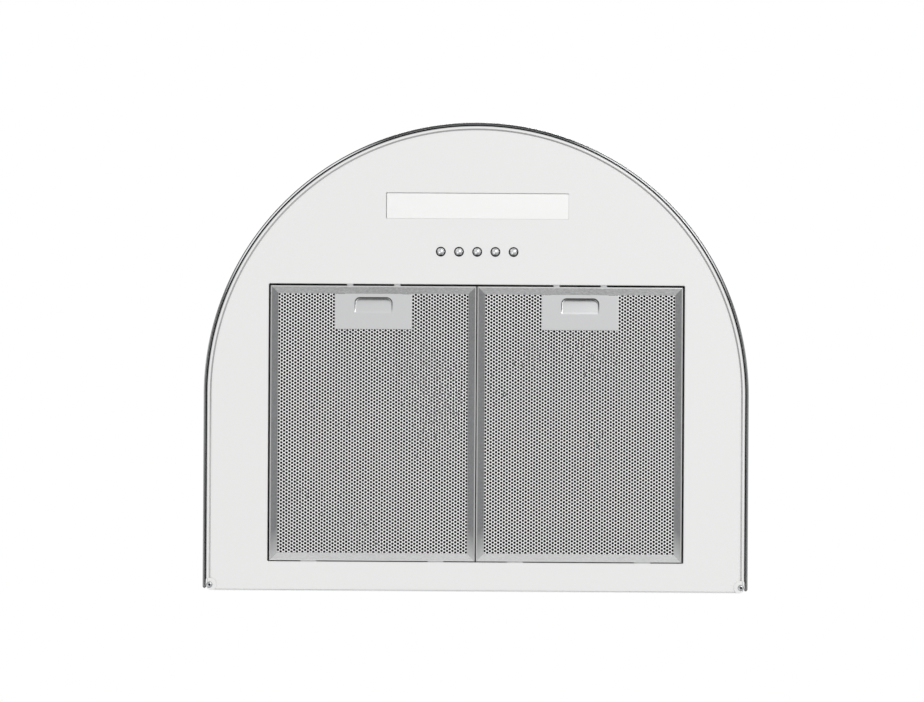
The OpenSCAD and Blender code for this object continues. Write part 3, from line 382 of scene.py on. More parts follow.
def add_node(tree, kind, settings=None, inputs=None):
    """A new node with its settings and the plain values of its sockets."""
    made = tree.nodes.new(kind)
    for key, value in (settings or {}).items():
        setattr(made, key, value)
    for key, value in (inputs or {}).items():
        made.inputs[key].default_value = value
    return made


def new_group(name, inputs, outputs):
    """An empty shader group with float inputs, given by their defaults, and named outputs."""
    tree = bpy.data.node_groups.new(name, "ShaderNodeTree")
    for socket, default in inputs.items():
        made = tree.interface.new_socket(socket, in_out="INPUT", socket_type="NodeSocketFloat")
        made.default_value = default
    for socket in outputs:
        tree.interface.new_socket(socket, in_out="OUTPUT", socket_type="NodeSocketFloat")
    return tree, tree.nodes.new("NodeGroupInput"), tree.nodes.new("NodeGroupOutput")


def math_node(tree, operation, first, second=None, third=None):
    """One math node. Each operand is a socket or a number."""
    made = add_node(tree, "ShaderNodeMath", {"operation": operation})
    for i, value in enumerate((first, second, third)):
        if value is None:
            continue
        if isinstance(value, (int, float)):
            made.inputs[i].default_value = value
        else:
            tree.links.new(value, made.inputs[i])
    return made.outputs[0]


def stretched_place(tree, given):
    """The place on the piece, scaled apart along each axis by the group's inputs."""
    place = add_node(tree, "ShaderNodeTexCoord")
    combine = add_node(tree, "ShaderNodeCombineXYZ")
    for axis in "XYZ":
        tree.links.new(given.outputs[f"Scale {axis}"], combine.inputs[axis])
    times = add_node(tree, "ShaderNodeVectorMath", {"operation": "MULTIPLY"})
    tree.links.new(place.outputs["Object"], times.inputs[0])
    tree.links.new(combine.outputs[0], times.inputs[1])
    return times.outputs[0]


def noise(tree, place, detail=3.0, roughness=0.55):
    """Noise with the middle at nought, from about -0.5 to 0.5."""
    made = add_node(tree, "ShaderNodeTexNoise",
                    inputs={"Scale": 1.0, "Detail": detail, "Roughness": roughness})
    tree.links.new(place, made.inputs["Vector"])
    return math_node(tree, "SUBTRACT", made.outputs["Fac"], 0.5)


def make_grain_group():
    """Grain: one stretched noise that moves tone, roughness and height by their own amounts."""
    inputs = {"Scale X": 500.0, "Scale Y": 500.0, "Scale Z": 500.0, "Tone": 0.1, "Base roughness": 0.4,
              "Roughness range": 0.1, "Drift scale": 6.0, "Drift": 0.05}
    tree, given, result = new_group("grain", inputs, ("Tone", "Roughness", "Height"))
    fine = noise(tree, stretched_place(tree, given))
    place = add_node(tree, "ShaderNodeTexCoord")
    drift_node = add_node(tree, "ShaderNodeTexNoise", inputs={"Detail": 2.0})
    tree.links.new(place.outputs["Object"], drift_node.inputs["Vector"])
    tree.links.new(given.outputs["Drift scale"], drift_node.inputs["Scale"])
    drift = math_node(tree, "SUBTRACT", drift_node.outputs["Fac"], 0.5)
    slow = math_node(tree, "MULTIPLY", drift, given.outputs["Drift"])
    tone = math_node(tree, "MULTIPLY_ADD", fine, given.outputs["Tone"], slow)
    tree.links.new(math_node(tree, "ADD", tone, 0.5), result.inputs["Tone"])
    rough = math_node(tree, "MULTIPLY_ADD", fine, given.outputs["Roughness range"],
                      given.outputs["Base roughness"])
    rough = math_node(tree, "ADD", rough, math_node(tree, "MULTIPLY", slow, 0.6))
    tree.links.new(rough, result.inputs["Roughness"])
    tree.links.new(fine, result.inputs["Height"])
    return tree


def make_spangle_group():
    """Spangle: flat crystals of zinc, each with its own tone and roughness."""
    inputs = {"Scale": 90.0, "Base roughness": 0.4, "Roughness range": 0.16}
    tree, given, result = new_group("spangle", inputs, ("Tone", "Roughness"))
    place = add_node(tree, "ShaderNodeTexCoord")
    cells = add_node(tree, "ShaderNodeTexVoronoi", {"feature": "F1"}, {"Randomness": 1.0})
    tree.links.new(place.outputs["Object"], cells.inputs["Vector"])
    tree.links.new(given.outputs["Scale"], cells.inputs["Scale"])
    split = add_node(tree, "ShaderNodeSeparateColor")
    tree.links.new(cells.outputs["Color"], split.inputs[0])
    tree.links.new(split.outputs[0], result.inputs["Tone"])
    middle = math_node(tree, "SUBTRACT", split.outputs[1], 0.5)
    rough = math_node(tree, "MULTIPLY_ADD", middle, given.outputs["Roughness range"],
                      given.outputs["Base roughness"])
    tree.links.new(rough, result.inputs["Roughness"])
    return tree


def grouped(name, group_name, colour, dark, values, sockets):
    """A material with one effect group: its tone runs from the colour times dark to as much above it.

    Returns the material, its node tree, the shader, the group's node and the colour mix's output.
    """
    material = bpy.data.materials.new(name)
    material.use_nodes = True
    tree = material.node_tree
    shader = tree.nodes["Principled BSDF"]
    for key, value in sockets.items():
        shader.inputs[key].default_value = value
    group = add_node(tree, "ShaderNodeGroup", {"node_tree": bpy.data.node_groups[group_name]}, values)
    mix = add_node(tree, "ShaderNodeMix", {"data_type": "RGBA"})
    mix.inputs[6].default_value = (*[c * dark for c in colour], 1)
    mix.inputs[7].default_value = (*[min(1.0, c * (2 - dark)) for c in colour], 1)
    tree.links.new(group.outputs["Tone"], mix.inputs[0])
    tree.links.new(group.outputs["Roughness"], shader.inputs["Roughness"])
    return material, tree, shader, group, mix.outputs[2]


def grained(name, colour, roughness, grain, tone=0.1, spread=0.1, height=0.0, metallic=0.0, drift=0.05,
            dark=0.6, coat=0.0, coat_roughness=0.05, specular=0.5, subsurface=0.0, second=None):
    """A finish whose tone, roughness and height follow the grain group.

    Grain is its fineness, for each axis or for all three. The second colour, if given, takes over where the
    mesh's painted light and tone value is one; it mostly paints shade or highlights.
    """
    scales = np.broadcast_to(grain, 3).astype(float).tolist()
    values = dict(zip(("Scale X", "Scale Y", "Scale Z"), scales))
    values |= {"Tone": tone, "Base roughness": roughness, "Roughness range": spread, "Drift": drift}
    sockets = {"Metallic": metallic, "Coat Weight": coat, "Coat Roughness": coat_roughness,
               "Specular IOR Level": specular}
    if subsurface:
        sockets |= {"Subsurface Weight": subsurface, "Subsurface Radius": (0.004, 0.004, 0.004)}
    material, tree, shader, group, colour_socket = grouped(name, "grain", colour, dark, values, sockets)
    if second:
        shine = add_node(tree, "ShaderNodeAttribute", {"attribute_name": "shine"})
        bare = add_node(tree, "ShaderNodeMix", {"data_type": "RGBA"})
        bare.inputs[7].default_value = (*second, 1)
        tree.links.new(shine.outputs["Fac"], bare.inputs[0])
        tree.links.new(colour_socket, bare.inputs[6])
        colour_socket = bare.outputs[2]
    tree.links.new(colour_socket, shader.inputs["Base Color"])
    if height:
        bump = add_node(tree, "ShaderNodeBump", inputs={"Strength": 1.0, "Distance": height * MM})
        tree.links.new(group.outputs["Height"], bump.inputs["Height"])
        tree.links.new(bump.outputs[0], shader.inputs["Normal"])
    return material


def spangled(name, colour, roughness, scale, spread, dark):
    """Zinc-coated steel: metal whose tone and roughness follow the spangle group."""
    values = {"Scale": scale, "Base roughness": roughness, "Roughness range": spread}
    material, tree, shader, _, tone = grouped(name, "spangle", colour, dark, values, {"Metallic": 1.0})
    tree.links.new(tone, shader.inputs["Base Color"])
    return material


def make_finishes():
    """Every finish of the hood, by name."""
    make_grain_group()
    make_spangle_group()
    enamel = tuple(bpy.context.scene.hood_colours.enamel)
    return {
        # The enamel's grey second colour is painted shade: at the lip's edge where it meets the strip, and in
        # the panel's groove.
        "enamel": grained("white enamel", enamel, 0.3, 700, tone=0.04, spread=0.05, height=0.006,
                          drift=0.03, dark=0.94, coat=0.5, coat_roughness=0.07, second=(0.47, 0.47, 0.47)),
        # The chrome's near-black second colour is painted shade and reflection, on the buttons alone.
        "chrome": grained("polished chrome", (0.86, 0.87, 0.88), 0.07, 160, tone=0.05, spread=0.05,
                          metallic=1.0, dark=0.95, drift=0.1, second=(0.03, 0.03, 0.03)),
        # Side, front and rear alloys are lit and shaded copies of one metal, toned for how light falls on
        # each member: painted light and shade.
        "shaded_side_alloy": grained("alloy of the side members", (0.25, 0.253, 0.257), 0.36, (900, 500, 900),
                              tone=0.8, spread=0.2, height=0.004, metallic=1.0, second=(0.78, 0.78, 0.78)),
        "shaded_front_alloy": grained("alloy of the front member", (0.435, 0.437, 0.44), 0.38, (500, 1600, 1600),
                               tone=1.2, spread=0.25, height=0.01, metallic=1.0, dark=0.5, drift=0.25,
                               second=(0.85, 0.85, 0.85)),
        "lit_rear_alloy": grained("alloy of the rear member", (0.69, 0.692, 0.695), 0.38, (500, 1600, 1600),
                              tone=0.9, spread=0.25, height=0.01, metallic=1.0, dark=0.7, drift=0.15,
                              second=(0.85, 0.85, 0.85)),
        "sheet_alloy": grained("punched alloy sheet", (0.96, 0.962, 0.965), 0.3, (500, 90, 500), tone=0.3,
                               spread=0.12, height=0.002, metallic=0.7, dark=0.95, drift=0.25),
        # Near black as painted shade behind the punched sheet; the light second colour is the alloy's own, on
        # the upper side.
        "shaded_core_alloy": grained("filter core alloy", (0.018, 0.018, 0.019), 0.6, (300, 900, 300), tone=0.8,
                              spread=0.2, height=0.05, metallic=0.6, dark=0.5, second=(0.42, 0.425, 0.43)),
        # The dark second colour is painted shade in the finger scoops.
        "latch_alloy": grained("satin pressed alloy", (0.715, 0.72, 0.725), 0.34, 900, tone=0.08,
                               spread=0.06, height=0.001, metallic=1.0, dark=0.94, drift=0.06,
                               second=(0.05, 0.05, 0.05)),
        "zinc": spangled("zinc coated steel", (0.56, 0.58, 0.60), 0.42, 130.0, 0.1, 0.9),
        "fine_zinc": spangled("bright zinc plate", (0.66, 0.67, 0.68), 0.3, 400.0, 0.1, 0.92),
        # The near-black second colour is painted shade in the socket.
        "screw": grained("screw with painted shade in its socket", (0.50, 0.51, 0.52), 0.35, 900, metallic=1.0,
                         dark=0.9, second=(0.015, 0.015, 0.015)),
        "wheel": grained("grey coated steel", (0.30, 0.31, 0.32), 0.45, 900, height=0.01, dark=0.85,
                         coat=0.1),
        "motor": grained("grey satin paint", (0.20, 0.215, 0.22), 0.42, 600, height=0.02, dark=0.85,
                         coat=0.15),
        "opal": grained("opal lens", (0.93, 0.93, 0.92), 0.22, 80, tone=0.03, spread=0.03, dark=0.97,
                        drift=0.02, coat=0.3, subsurface=0.3),
        "white_plastic": grained("light plastic", (0.72, 0.73, 0.70), 0.5, 1500, tone=0.05, spread=0.08,
                                 height=0.01, dark=0.92),
        "phosphor": grained("yellow phosphor", (0.85, 0.66, 0.18), 0.35, 900, tone=0.05, spread=0.05,
                            dark=0.9, coat=0.4),
        "black_plastic": grained("black plastic", (0.016, 0.016, 0.018), 0.45, 1500, height=0.01, dark=0.8),
        "foam": grained("black foam", (0.010, 0.010, 0.011), 0.95, 1200, tone=0.6, spread=0.05,
                        height=0.15, dark=0.5, specular=0.15),
        "sheath": grained("grey cable sheath", (0.55, 0.55, 0.55), 0.45, 300, tone=0.05, height=0.01,
                          dark=0.9),
    }


FINISHES = {}


# Pieces


def make_piece(name, shape, finish, body, nodes, angle=18, weld=True):
    """A mesh object from a shape: welded, its faces turned outwards, shaded, and riding its body."""
    mesh = bpy.data.meshes.new(name)
    mesh.from_pydata((np.concatenate(shape.points) * MM).tolist(), [], shape.faces)
    shine = mesh.attributes.new("shine", "FLOAT", "POINT")
    shine.data.foreach_set("value", np.concatenate(shape.shine).astype(np.float32))
    if weld:
        cleaned = bmesh.new()
        cleaned.from_mesh(mesh)
        bmesh.ops.remove_doubles(cleaned, verts=cleaned.verts, dist=2e-6)
        bmesh.ops.recalc_face_normals(cleaned, faces=cleaned.faces)
        cleaned.to_mesh(mesh)
        cleaned.free()
    mesh.shade_smooth()
    mesh.set_sharp_from_angle(angle=np.radians(angle))
    mesh.materials.append(FINISHES[finish])
    piece = bpy.data.objects.new(name, mesh)
    bpy.context.scene.collection.objects.link(piece)
    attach(piece, body)
    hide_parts(*nodes)
    return piece


def refined(node, finish, body, edge=0.25, angle=32):
    """A node's own solid, welded, with its hard edges softened by a bevel and its curves smooth."""
    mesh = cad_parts[node].data.copy()
    mesh.name = node + "_smooth"
    mesh.materials.clear()
    mesh.materials.append(FINISHES[finish])
    cleaned = bmesh.new()
    cleaned.from_mesh(mesh)
    bmesh.ops.remove_doubles(cleaned, verts=cleaned.verts, dist=2e-6)
    bmesh.ops.dissolve_limit(cleaned, angle_limit=np.radians(0.6), verts=cleaned.verts, edges=cleaned.edges)
    cleaned.to_mesh(mesh)
    cleaned.free()
    mesh.shade_smooth()
    mesh.set_sharp_from_angle(angle=np.radians(angle))
    piece = bpy.data.objects.new(node + "_smooth", mesh)
    bpy.context.scene.collection.objects.link(piece)
    if edge > 0:
        bevel = piece.modifiers.new("soft edges", "BEVEL")
        bevel.width, bevel.segments, bevel.limit_method = edge * MM, 2, "ANGLE"
        bevel.angle_limit = np.radians(angle)
        bevel.harden_normals = True
        bevel.use_clamp_overlap = True
    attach(piece, body)
    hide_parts(node)
    return piece


def canopy_section():
    """Closed section of the canopy's wall: lip, side, rounded top edge and the start of the top.

    Returns the section and which of its points are on the outside.
    """
    outer = rounded(
        [[LIP_IN, LIP_T], [LIP_IN, 0], [BODY_R, 0], [BODY_R, JOINT_TOP], [BODY_R, JOINT_TOP + 1],
         [BODY_R, CANOPY_H], [TOP_R, CANOPY_H]],
        [0, 0.9, 2.0, 0, 0, TOP_EDGE_R, 0], 12, closed=False)
    inner = rounded(
        [[TOP_R, CANOPY_H - SHEET], [BODY_R - SHEET, CANOPY_H - SHEET], [BODY_R - SHEET, LIP_T]],
        [0, TOP_EDGE_R - SHEET, 0], 12, closed=False)
    outside = np.arange(len(outer) + len(inner)) < len(outer)
    return np.concatenate([outer, inner]), outside


def rear_corner_x(y):
    """Half width of the canopy close to the wall, where the upright corner is rounded."""
    into = np.clip(y + REAR_CORNER, 0, REAR_CORNER)
    return BODY_R - REAR_CORNER + np.sqrt(REAR_CORNER**2 - into**2)


def round_end(section, x, y, radius):
    """The section carried round an upright corner: each point stops at the arc of its own radius."""
    turn = np.linspace(0, np.pi / 2, 13)[:, None]
    across = np.minimum(section[None, :, 0], x + radius * np.cos(turn))
    along = y + radius * np.sin(turn)
    return np.stack(np.broadcast_arrays(across, along, section[None, :, 1]), -1)


def screw_hole(side):
    """Outline of the hole for a corner screw."""
    return circle(side * SCREW_X, SCREW_Y, SCREW_HOLE_R, 24)


def lip_tab(side):
    """Tab of the lip round a corner screw: a disc cut off where it meets the canopy's outline."""
    angle = np.linspace(0, 2 * np.pi, 72, endpoint=False)
    way = np.stack([np.cos(angle), np.sin(angle)], -1)
    reach = np.linspace(0, TAB_R, 301)[:, None, None]
    points = np.array([SCREW_X, SCREW_Y]) + reach * way[None]
    inside = (points[..., 1] <= 0) & (points[..., 0] <= rear_corner_x(points[..., 1]))
    far = np.where(inside.all(0), TAB_R, reach[:, 0, 0][np.argmin(inside, 0)])
    loop = (np.array([SCREW_X, SCREW_Y]) + far[:, None] * way) * (side, 1)
    return plate([loop, screw_hole(side)], 0, LIP_T, 0.15)


def make_canopy():
    """Canopy: the wall's section swept round the D, its flat top, back flange and corner tabs.

    The rounded edge of the lip, where it meets the strip, takes the enamel's grey second colour as painted
    shade for the gap between them.
    """
    shape = Shape()
    section, outside = canopy_section()
    corner = round_end(section, BODY_R - REAR_CORNER, -REAR_CORNER, REAR_CORNER - SHEET * ~outside)
    wall = d_sweep(section, ARC_Y, -REAR_CORNER, 160, 4)
    # Painted shade: the lip's outer rounded edge is grey for the gap between lip and strip.
    lip_joint_shade = outside & (section[:, 0] > BODY_R - 0.9) & (section[:, 1] <= JOINT_TOP)
    swept(shape, mirrored(corner, wall), shine=lip_joint_shade.astype(float))
    top = d_outline(TOP_R, ARC_Y, 0, 0)
    holes = [circle(0, DUCT_Y, DUCT_HOLE_R, 96), circle(GLAND_X, GLAND_Y, GLAND_R, 32)]
    holes += [circle(side * COLLAR_BOLT_X, DUCT_Y + way * COLLAR_BOLT_Y, COLLAR_BOLT_R, 16)
              for side in (-1, 1) for way in (-1, 1)]
    shape.add_shape(plate([top, *holes], CANOPY_H - SHEET, SHEET, 0.02))
    edge = section[outside & (section[:, 0] > TOP_R)][2:]
    edge = np.stack([np.minimum(edge[:, 0], BODY_R - REAR_CORNER), edge[:, 1]], -1)
    edge = edge[np.r_[True, np.abs(np.diff(edge, axis=0)).sum(1) > 0.01]]
    back = np.concatenate([edge, edge[::-1] * (-1, 1)])
    window = rectangle(0, WINDOW_LOW + WINDOW_H / 2, WINDOW_W, WINDOW_H, 4)
    shape.add_shape(plate([back, window], -SHEET, SHEET, 0.2), turn=UPRIGHT)
    for side in (-1, 1):
        shape.add_shape(lip_tab(side))
    make_piece("canopy_enamel", shape, "enamel", "canopy", ["canopy_shell"])


def make_trim():
    """Chrome strip: a band with a slanted face and rounded edges, swept round the D, with rounded ends."""
    low, high = TRIM_LOW[2], TRIM_HIGH[2]
    inner, end_r = HOOD_R - 2.8, 2.5
    band = rounded([[inner, low + 0.2], [inner + 0.1, low], [HOOD_R - 1.2, low + 1.8],
                    [HOOD_R - 0.1, low + 4.6], [HOOD_R, (low + high) / 2], [HOOD_R - 0.15, high],
                    [inner, high]],
                   [0.08, 0.08, 0.5, 1.5, 30, 1.3, 1.2], 6)
    end = round_end(band, HOOD_R - end_r, TRIM_HIGH[1] - end_r, np.full(len(band), end_r))
    middle = d_sweep(band, ARC_Y, TRIM_HIGH[1] - end_r, 200, 4)
    shape = swept(Shape(), mirrored(end, middle))
    make_piece("trim_chrome", shape, "chrome", "canopy", ["trim_strip"], angle=50)


def panel_rim(groove):
    """Closed section of the panel's border: a pressed groove just inside the lip, then the flat rim.

    Returns the section and how much painted shade, standing in for the groove's shadow, lies on each of its
    points.
    """
    low, top = PANEL_LOW, PANEL_TOP
    r, lip = PANEL_R, LIP_IN
    under = [[lip - 3, low], [lip - 1.7, low], [lip - 1.3, low + groove], [lip + 0.3, low + groove],
             [lip + 0.6, low], [r, low]]
    over = [[r, top], [lip + 0.9, top], [lip + 0.5, top + groove], [lip - 1.6, top + groove],
            [lip - 2.2, top], [lip - 3, top]]
    section = rounded(under + over, [0, 0.3, 0.3, 0.3, 0.2, 0.2, 0.2, 0.2, 0.3, 0.3, 0.3, 0], 3)
    # Painted shade in the groove: points on its walls and floor take the enamel's grey second colour.
    groove_shade = (section[:, 1] > low + 0.5) & (section[:, 1] < low + groove + 0.1) & (section[:, 0] < lip + 0.4)
    return section, groove_shade.astype(float)


def make_underside():
    """Underside panel: flat sheet with its openings, the grooved border, and the filter opening's flange.

    The flange is a ring of rounded rectangles: the sheet bends up with a radius and ends in an edge.
    """
    bend, back = 1.2, -SHEET - 0.15
    rim, groove_shade = panel_rim(0.95)
    points = d_sweep(rim, ARC_Y, CORNER_Y, 200, 4)
    # The groove's painted shade is full on the arc and half along the straight sides.
    shape = swept(Shape(), points, shine=np.where(points[..., 1] > ARC_Y, 0.5, 1) * groove_shade)
    outline = d_outline(PANEL_FLAT_R, ARC_Y, back, 0, 200)
    middle, deep = (OPEN_REAR + OPEN_FRONT) / 2, OPEN_REAR - OPEN_FRONT
    holes = [
        rectangle(0, middle, 2 * OPEN_X + 2 * bend, deep + 2 * bend, 2.5),
        rectangle(0, LAMP_Y, LAMP_W, LAMP_D, 1.0),
        *[circle(i * BUTTON_PITCH, BUTTONS_Y, BUTTON_R + 0.4) for i in range(-2, 3)],
    ]
    shape.add_shape(plate([outline, *holes], PANEL_LOW, SHEET, 0.08))
    corner = rounded([[PANEL_FLAT_R, CORNER_Y], [PANEL_R, CORNER_Y], [PANEL_R, back], [PANEL_FLAT_R, back]],
                     [0, 0, 4.6, 0], 6)
    for side in (-1, 1):
        shape.add_shape(plate([corner * (side, 1), screw_hole(side)], PANEL_LOW, SHEET, 0.08))
    quarter = np.linspace(0, np.pi / 2, 7)
    bent = [(-(bend - bend * np.sin(t)), PANEL_LOW + bend - bend * np.cos(t)) for t in quarter]
    profile = [*bent, (-0.3, FLANGE_TOP), (-SHEET, FLANGE_TOP - 0.3), (-SHEET, PANEL_TOP), (-bend, PANEL_TOP)]

    def flange(inset):
        return rectangle(0, middle, 2 * (OPEN_X - inset), deep - 2 * inset, 1.3 - inset, 6)

    shape.add_shape(ring_of(flange, profile))
    make_piece("underside_enamel", shape, "enamel", "canopy", ["underside_panel"])


def make_lens():
    """Lamp lens: a pad set a little to the right and rear of its opening, a groove and a flange."""
    face = PANEL_LOW + 0.3
    shift, play = 0.35, 0.8

    def pad(inset):
        return rectangle(shift, LAMP_Y + shift, LAMP_W - play - 2 * inset, LAMP_D - play - 2 * inset,
                         1.2 - inset)

    def flange(inset):
        return rectangle(0, LAMP_Y, LAMP_W + 8 - 2 * inset, LAMP_D + 8 - 2 * inset, 5 - inset)

    turn = np.linspace(0, np.pi / 2, 5)
    rise = [(0.5 - 0.5 * np.sin(t), face + 0.5 - 0.5 * np.cos(t)) for t in turn]
    shape = stacked(pad, [*rise, (0, PANEL_TOP + 2)])
    ring = [(0.2, PANEL_TOP), (2.8, PANEL_TOP), (2.8, PANEL_TOP + 1.2), (4.6, PANEL_TOP + 1.2),
            (4.6, PANEL_TOP + 2), (0.2, PANEL_TOP + 2), (0, PANEL_TOP + 1.8), (0, PANEL_TOP + 0.2)]
    shape.add_shape(ring_of(flange, ring))
    make_piece("lamp_lens", shape, "opal", "canopy", ["light_lens"])


def make_buttons():
    """Five push buttons turned on their axis, and the coil springs on their stems.

    A button's wall above its face takes the chrome's near-black second colour as painted shade in the gap
    round it, and a crescent on the rear of the dome takes part of it as a painted dark reflection.
    """
    low, top, stem_top, stem_r, ring_r = PANEL_LOW - 3.0, 7.0, 26.0, 2.4, 3.6
    face_r, sphere_r = BUTTON_R - 0.85, 4.9
    angle = np.linspace(0, np.arcsin((face_r - 0.4) / sphere_r), 16)
    dome = np.stack([sphere_r * np.sin(angle), low + sphere_r - sphere_r * np.cos(angle)], -1)
    edge = dome[-1, 1] + 0.35
    side = rounded([dome[-1], [face_r, edge], [face_r, 5.0], [BUTTON_R, 5.6], [BUTTON_R, top], [stem_r, top],
                    [stem_r, 14.3], [ring_r, 14.3], [ring_r, 16], [stem_r, 16], [stem_r, stem_top],
                    [0, stem_top]],
                   [0, 0.4, 0.2, 0.2, 0.3, 0.1, 0, 0.2, 0.2, 0, 0.4, 0], 4, closed=False)
    profile = np.concatenate([dome, side[1:]])
    for i, word in enumerate(("light", "off", "low", "medium", "high")):
        x = (i - 2) * BUTTON_PITCH
        cap = revolve(profile)
        rear, height = cap.points[0][:, 1], cap.points[0][:, 2]
        # Painted shade and reflection: the wall above the face is dark for the gap, the dome's rear crescent
        # darker as a reflection.
        cap.shine = [np.where(height > edge, 1.0, 0.55 * smooth((rear - 0.6) / 1.6))]
        shape = Shape().add_shape(cap, move=(x, BUTTONS_Y, 0))
        make_piece(f"{word}_button_cap", shape, "chrome", f"{word}_button",
                   [f"button_{word}"])
        wire = coil((x, BUTTONS_Y, 7.05), (x, BUTTONS_Y, 11.95), 3.5, 0.3, 4.5)
        spring = make_piece(f"{word}_button_spring", wire, "fine_zinc", "canopy",
                            ["button_springs"], 60)
        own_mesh(spring)


def mitred(low, high, lighter_far_end=0.0):
    """Member of the mitred frame, as rows of (along, inward, height): a rolled channel of thin sheet.

    Its two ends are cut at 45 degrees, so each is shortened by the inward distance. Its rolled edges take the
    second colour as a painted highlight, and the stretch next to its far end can be made lighter.
    """
    wall, w = 0.8, FRAME_W
    corners = [[w, FILTER_LOW], [w - 0.5, FILTER_LOW], [1.7, FILTER_LOW], [0, FILTER_LOW], [0, FILTER_TOP],
               [w, FILTER_TOP], [w, FILTER_TOP - wall], [wall, FILTER_TOP - wall],
               [wall, FILTER_LOW + wall], [w, FILTER_LOW + wall]]
    section = rounded(corners, [0.35, 0, 0, 1.1, 1.1, 0.3, 0.3, 0.3, 0.3, 0.3], 5)
    inward, height = section[:, 0], section[:, 1]
    start = np.stack([low + MITRE_GAP + inward, inward, height], -1)
    end = np.stack([high - MITRE_GAP - inward, inward, height], -1)
    # The stretch next to the far end, by the rear member, is lighter.
    near_end = end - (LIGHTER_END_LENGTH, 0, 0)
    # Painted highlight: the rolled edges take the alloy's light second colour.
    edges = np.clip(np.clip(1.3 - inward / 1.3, 0, 1) + np.clip(1 - (w - inward) / 0.5, 0, 1), 0, 1)
    shine = np.stack([edges, edges, np.maximum(edges, lighter_far_end)])
    return swept(Shape(), np.stack([start, near_end, end]), shine=shine)


def make_filters():
    """Filter frames, punched face sheets and cores. A core is near black as painted shade, bright on its
    upper side alone.
    """
    half = FILTER_W / 2
    for side, word in ((-1, "left"), (1, "right")):
        middle, body, frame_node = side * FILTER_X, f"filter_{word}", [f"filter_frame_{word}"]
        long = Shape()
        for way in (-1, 1):
            turn = [[0, -way, 0], [1, 0, 0], [0, 0, 1]]
            long.add_shape(mitred(FILTER_FRONT, FILTER_REAR, lighter_far_end=0.6), (middle + way * half, 0, 0), turn)
        # Each member takes its own lit or shaded copy of the frame alloy: painted light and shade.
        make_piece(f"side_members_{word}", long, "shaded_side_alloy", body, frame_node)
        front = Shape().add_shape(mitred(middle - half, middle + half), move=(0, FILTER_FRONT, 0))
        make_piece(f"front_member_{word}", front, "shaded_front_alloy", body, frame_node)
        rear = Shape().add_shape(mitred(middle - half, middle + half), move=(0, FILTER_REAR, 0),
                                 turn=[[1, 0, 0], [0, -1, 0], [0, 0, 1]])
        for hook in (-1, 1):
            x = middle + hook * HOOK_X
            rear.add_shape(block([x - HOOK_W / 2, FILTER_REAR - 0.4, 4],
                                 [x + HOOK_W / 2, FILTER_REAR + 5, 5], 1.5, 0.3))
        make_piece(f"rear_member_{word}", rear, "lit_rear_alloy", body, frame_node)
        for part in (-1, 1):
            make_piece(f"punched_sheet_{word}_{'ab'[part > 0]}", punched_sheet(middle, part), "sheet_alloy",
                       body, [f"filter_mesh_{word}"], angle=40, weld=False)
        core = refined(f"filter_core_{word}", "shaded_core_alloy", body, 0).data
        # Painted shade: the core's faces are near black except those facing up, which show the alloy's own
        # bright colour.
        normals = np.empty(len(core.vertices) * 3)
        core.vertices.foreach_get("normal", normals)
        upper = core.attributes.new("shine", "FLOAT", "POINT")
        upper.data.foreach_set("value", (normals[2::3] > 0).astype(np.float32))
        refined(f"latch_housing_{word}", "latch_alloy", body)


def punched_sheet(middle, half_side):
    """Half of a face sheet: eight-sided holes in staggered cells, with a dimple round each hole.

    Column i stands at i times the pitch, and every other column is moved by half a row.
    """
    sizes = bpy.context.scene.hood_filter
    step_x, step_y, hole = sizes.hole_step_x / MM, sizes.hole_step_y / MM, sizes.hole_width / MM / 2
    i = np.arange(MESH_COLUMNS) if half_side > 0 else -1 - np.arange(MESH_COLUMNS)
    x = (i + 0.5) * step_x
    front = (FILTER_FRONT + FILTER_REAR) / 2 - MESH_ROWS * step_y / 2
    y = front + (np.arange(MESH_ROWS)[None] + 0.25 + 0.5 * (i % 2)[:, None]) * step_y
    x = np.broadcast_to(x[:, None], y.shape)
    keep = ~((np.abs(x) < LATCH_GAP_X) & (y < LATCH_GAP_Y))
    centre = np.stack([x[keep], y[keep]], -1)
    turn = np.arange(8) * np.pi / 4
    cell = np.stack([np.sign(np.round(np.cos(turn), 6)) * step_x / 2,
                     np.sign(np.round(np.sin(turn), 6)) * step_y / 2], -1)
    rim = hole * np.stack([np.cos(turn), np.sin(turn)], -1)
    corner = centre[:, None] + cell
    corners, back = np.unique(np.round(corner, 3).reshape(-1, 2), axis=0, return_inverse=True)
    back = back.reshape(-1, 8)
    ring = (centre[:, None] + rim).reshape(-1, 2)
    count, holes = len(corners), len(ring)
    low, high = MESH_LOW, MESH_LOW + MESH_T
    layers = ((corners, low), (ring, low + 0.12), (ring, high + 0.08), (corners, high))
    points = np.concatenate([np.pad(flat, ((0, 0), (0, 1)), constant_values=z) for flat, z in layers])
    points += (middle, 0, 0)
    rim_low = count + np.arange(holes).reshape(-1, 8)
    rim_high = rim_low + holes
    top = count + 2 * holes
    after = np.roll(np.arange(8), -1)
    levels = (back, rim_low, rim_high, back + top)
    bands = [np.stack([under, over, over[:, after], under[:, after]], -1).reshape(-1, 4)
             for under, over in zip(levels, levels[1:])]
    edges = np.stack([back, back[:, after]], -1).reshape(-1, 2)
    _, first, times = np.unique(np.sort(edges, 1), axis=0, return_index=True, return_counts=True)
    border = edges[first[times == 1]]
    border_faces = np.stack([border[:, 0], border[:, 1], border[:, 1] + top, border[:, 0] + top], -1)
    return Shape().add(points, *bands, border_faces)


def spaced(stops, parts):
    """Places from stop to stop, each stretch in its own number of equal parts."""
    stretches = [np.linspace(a, b, n + 1)[:-1] for a, b, n in zip(stops, stops[1:], parts)]
    return np.concatenate([*stretches, stops[-1:]])


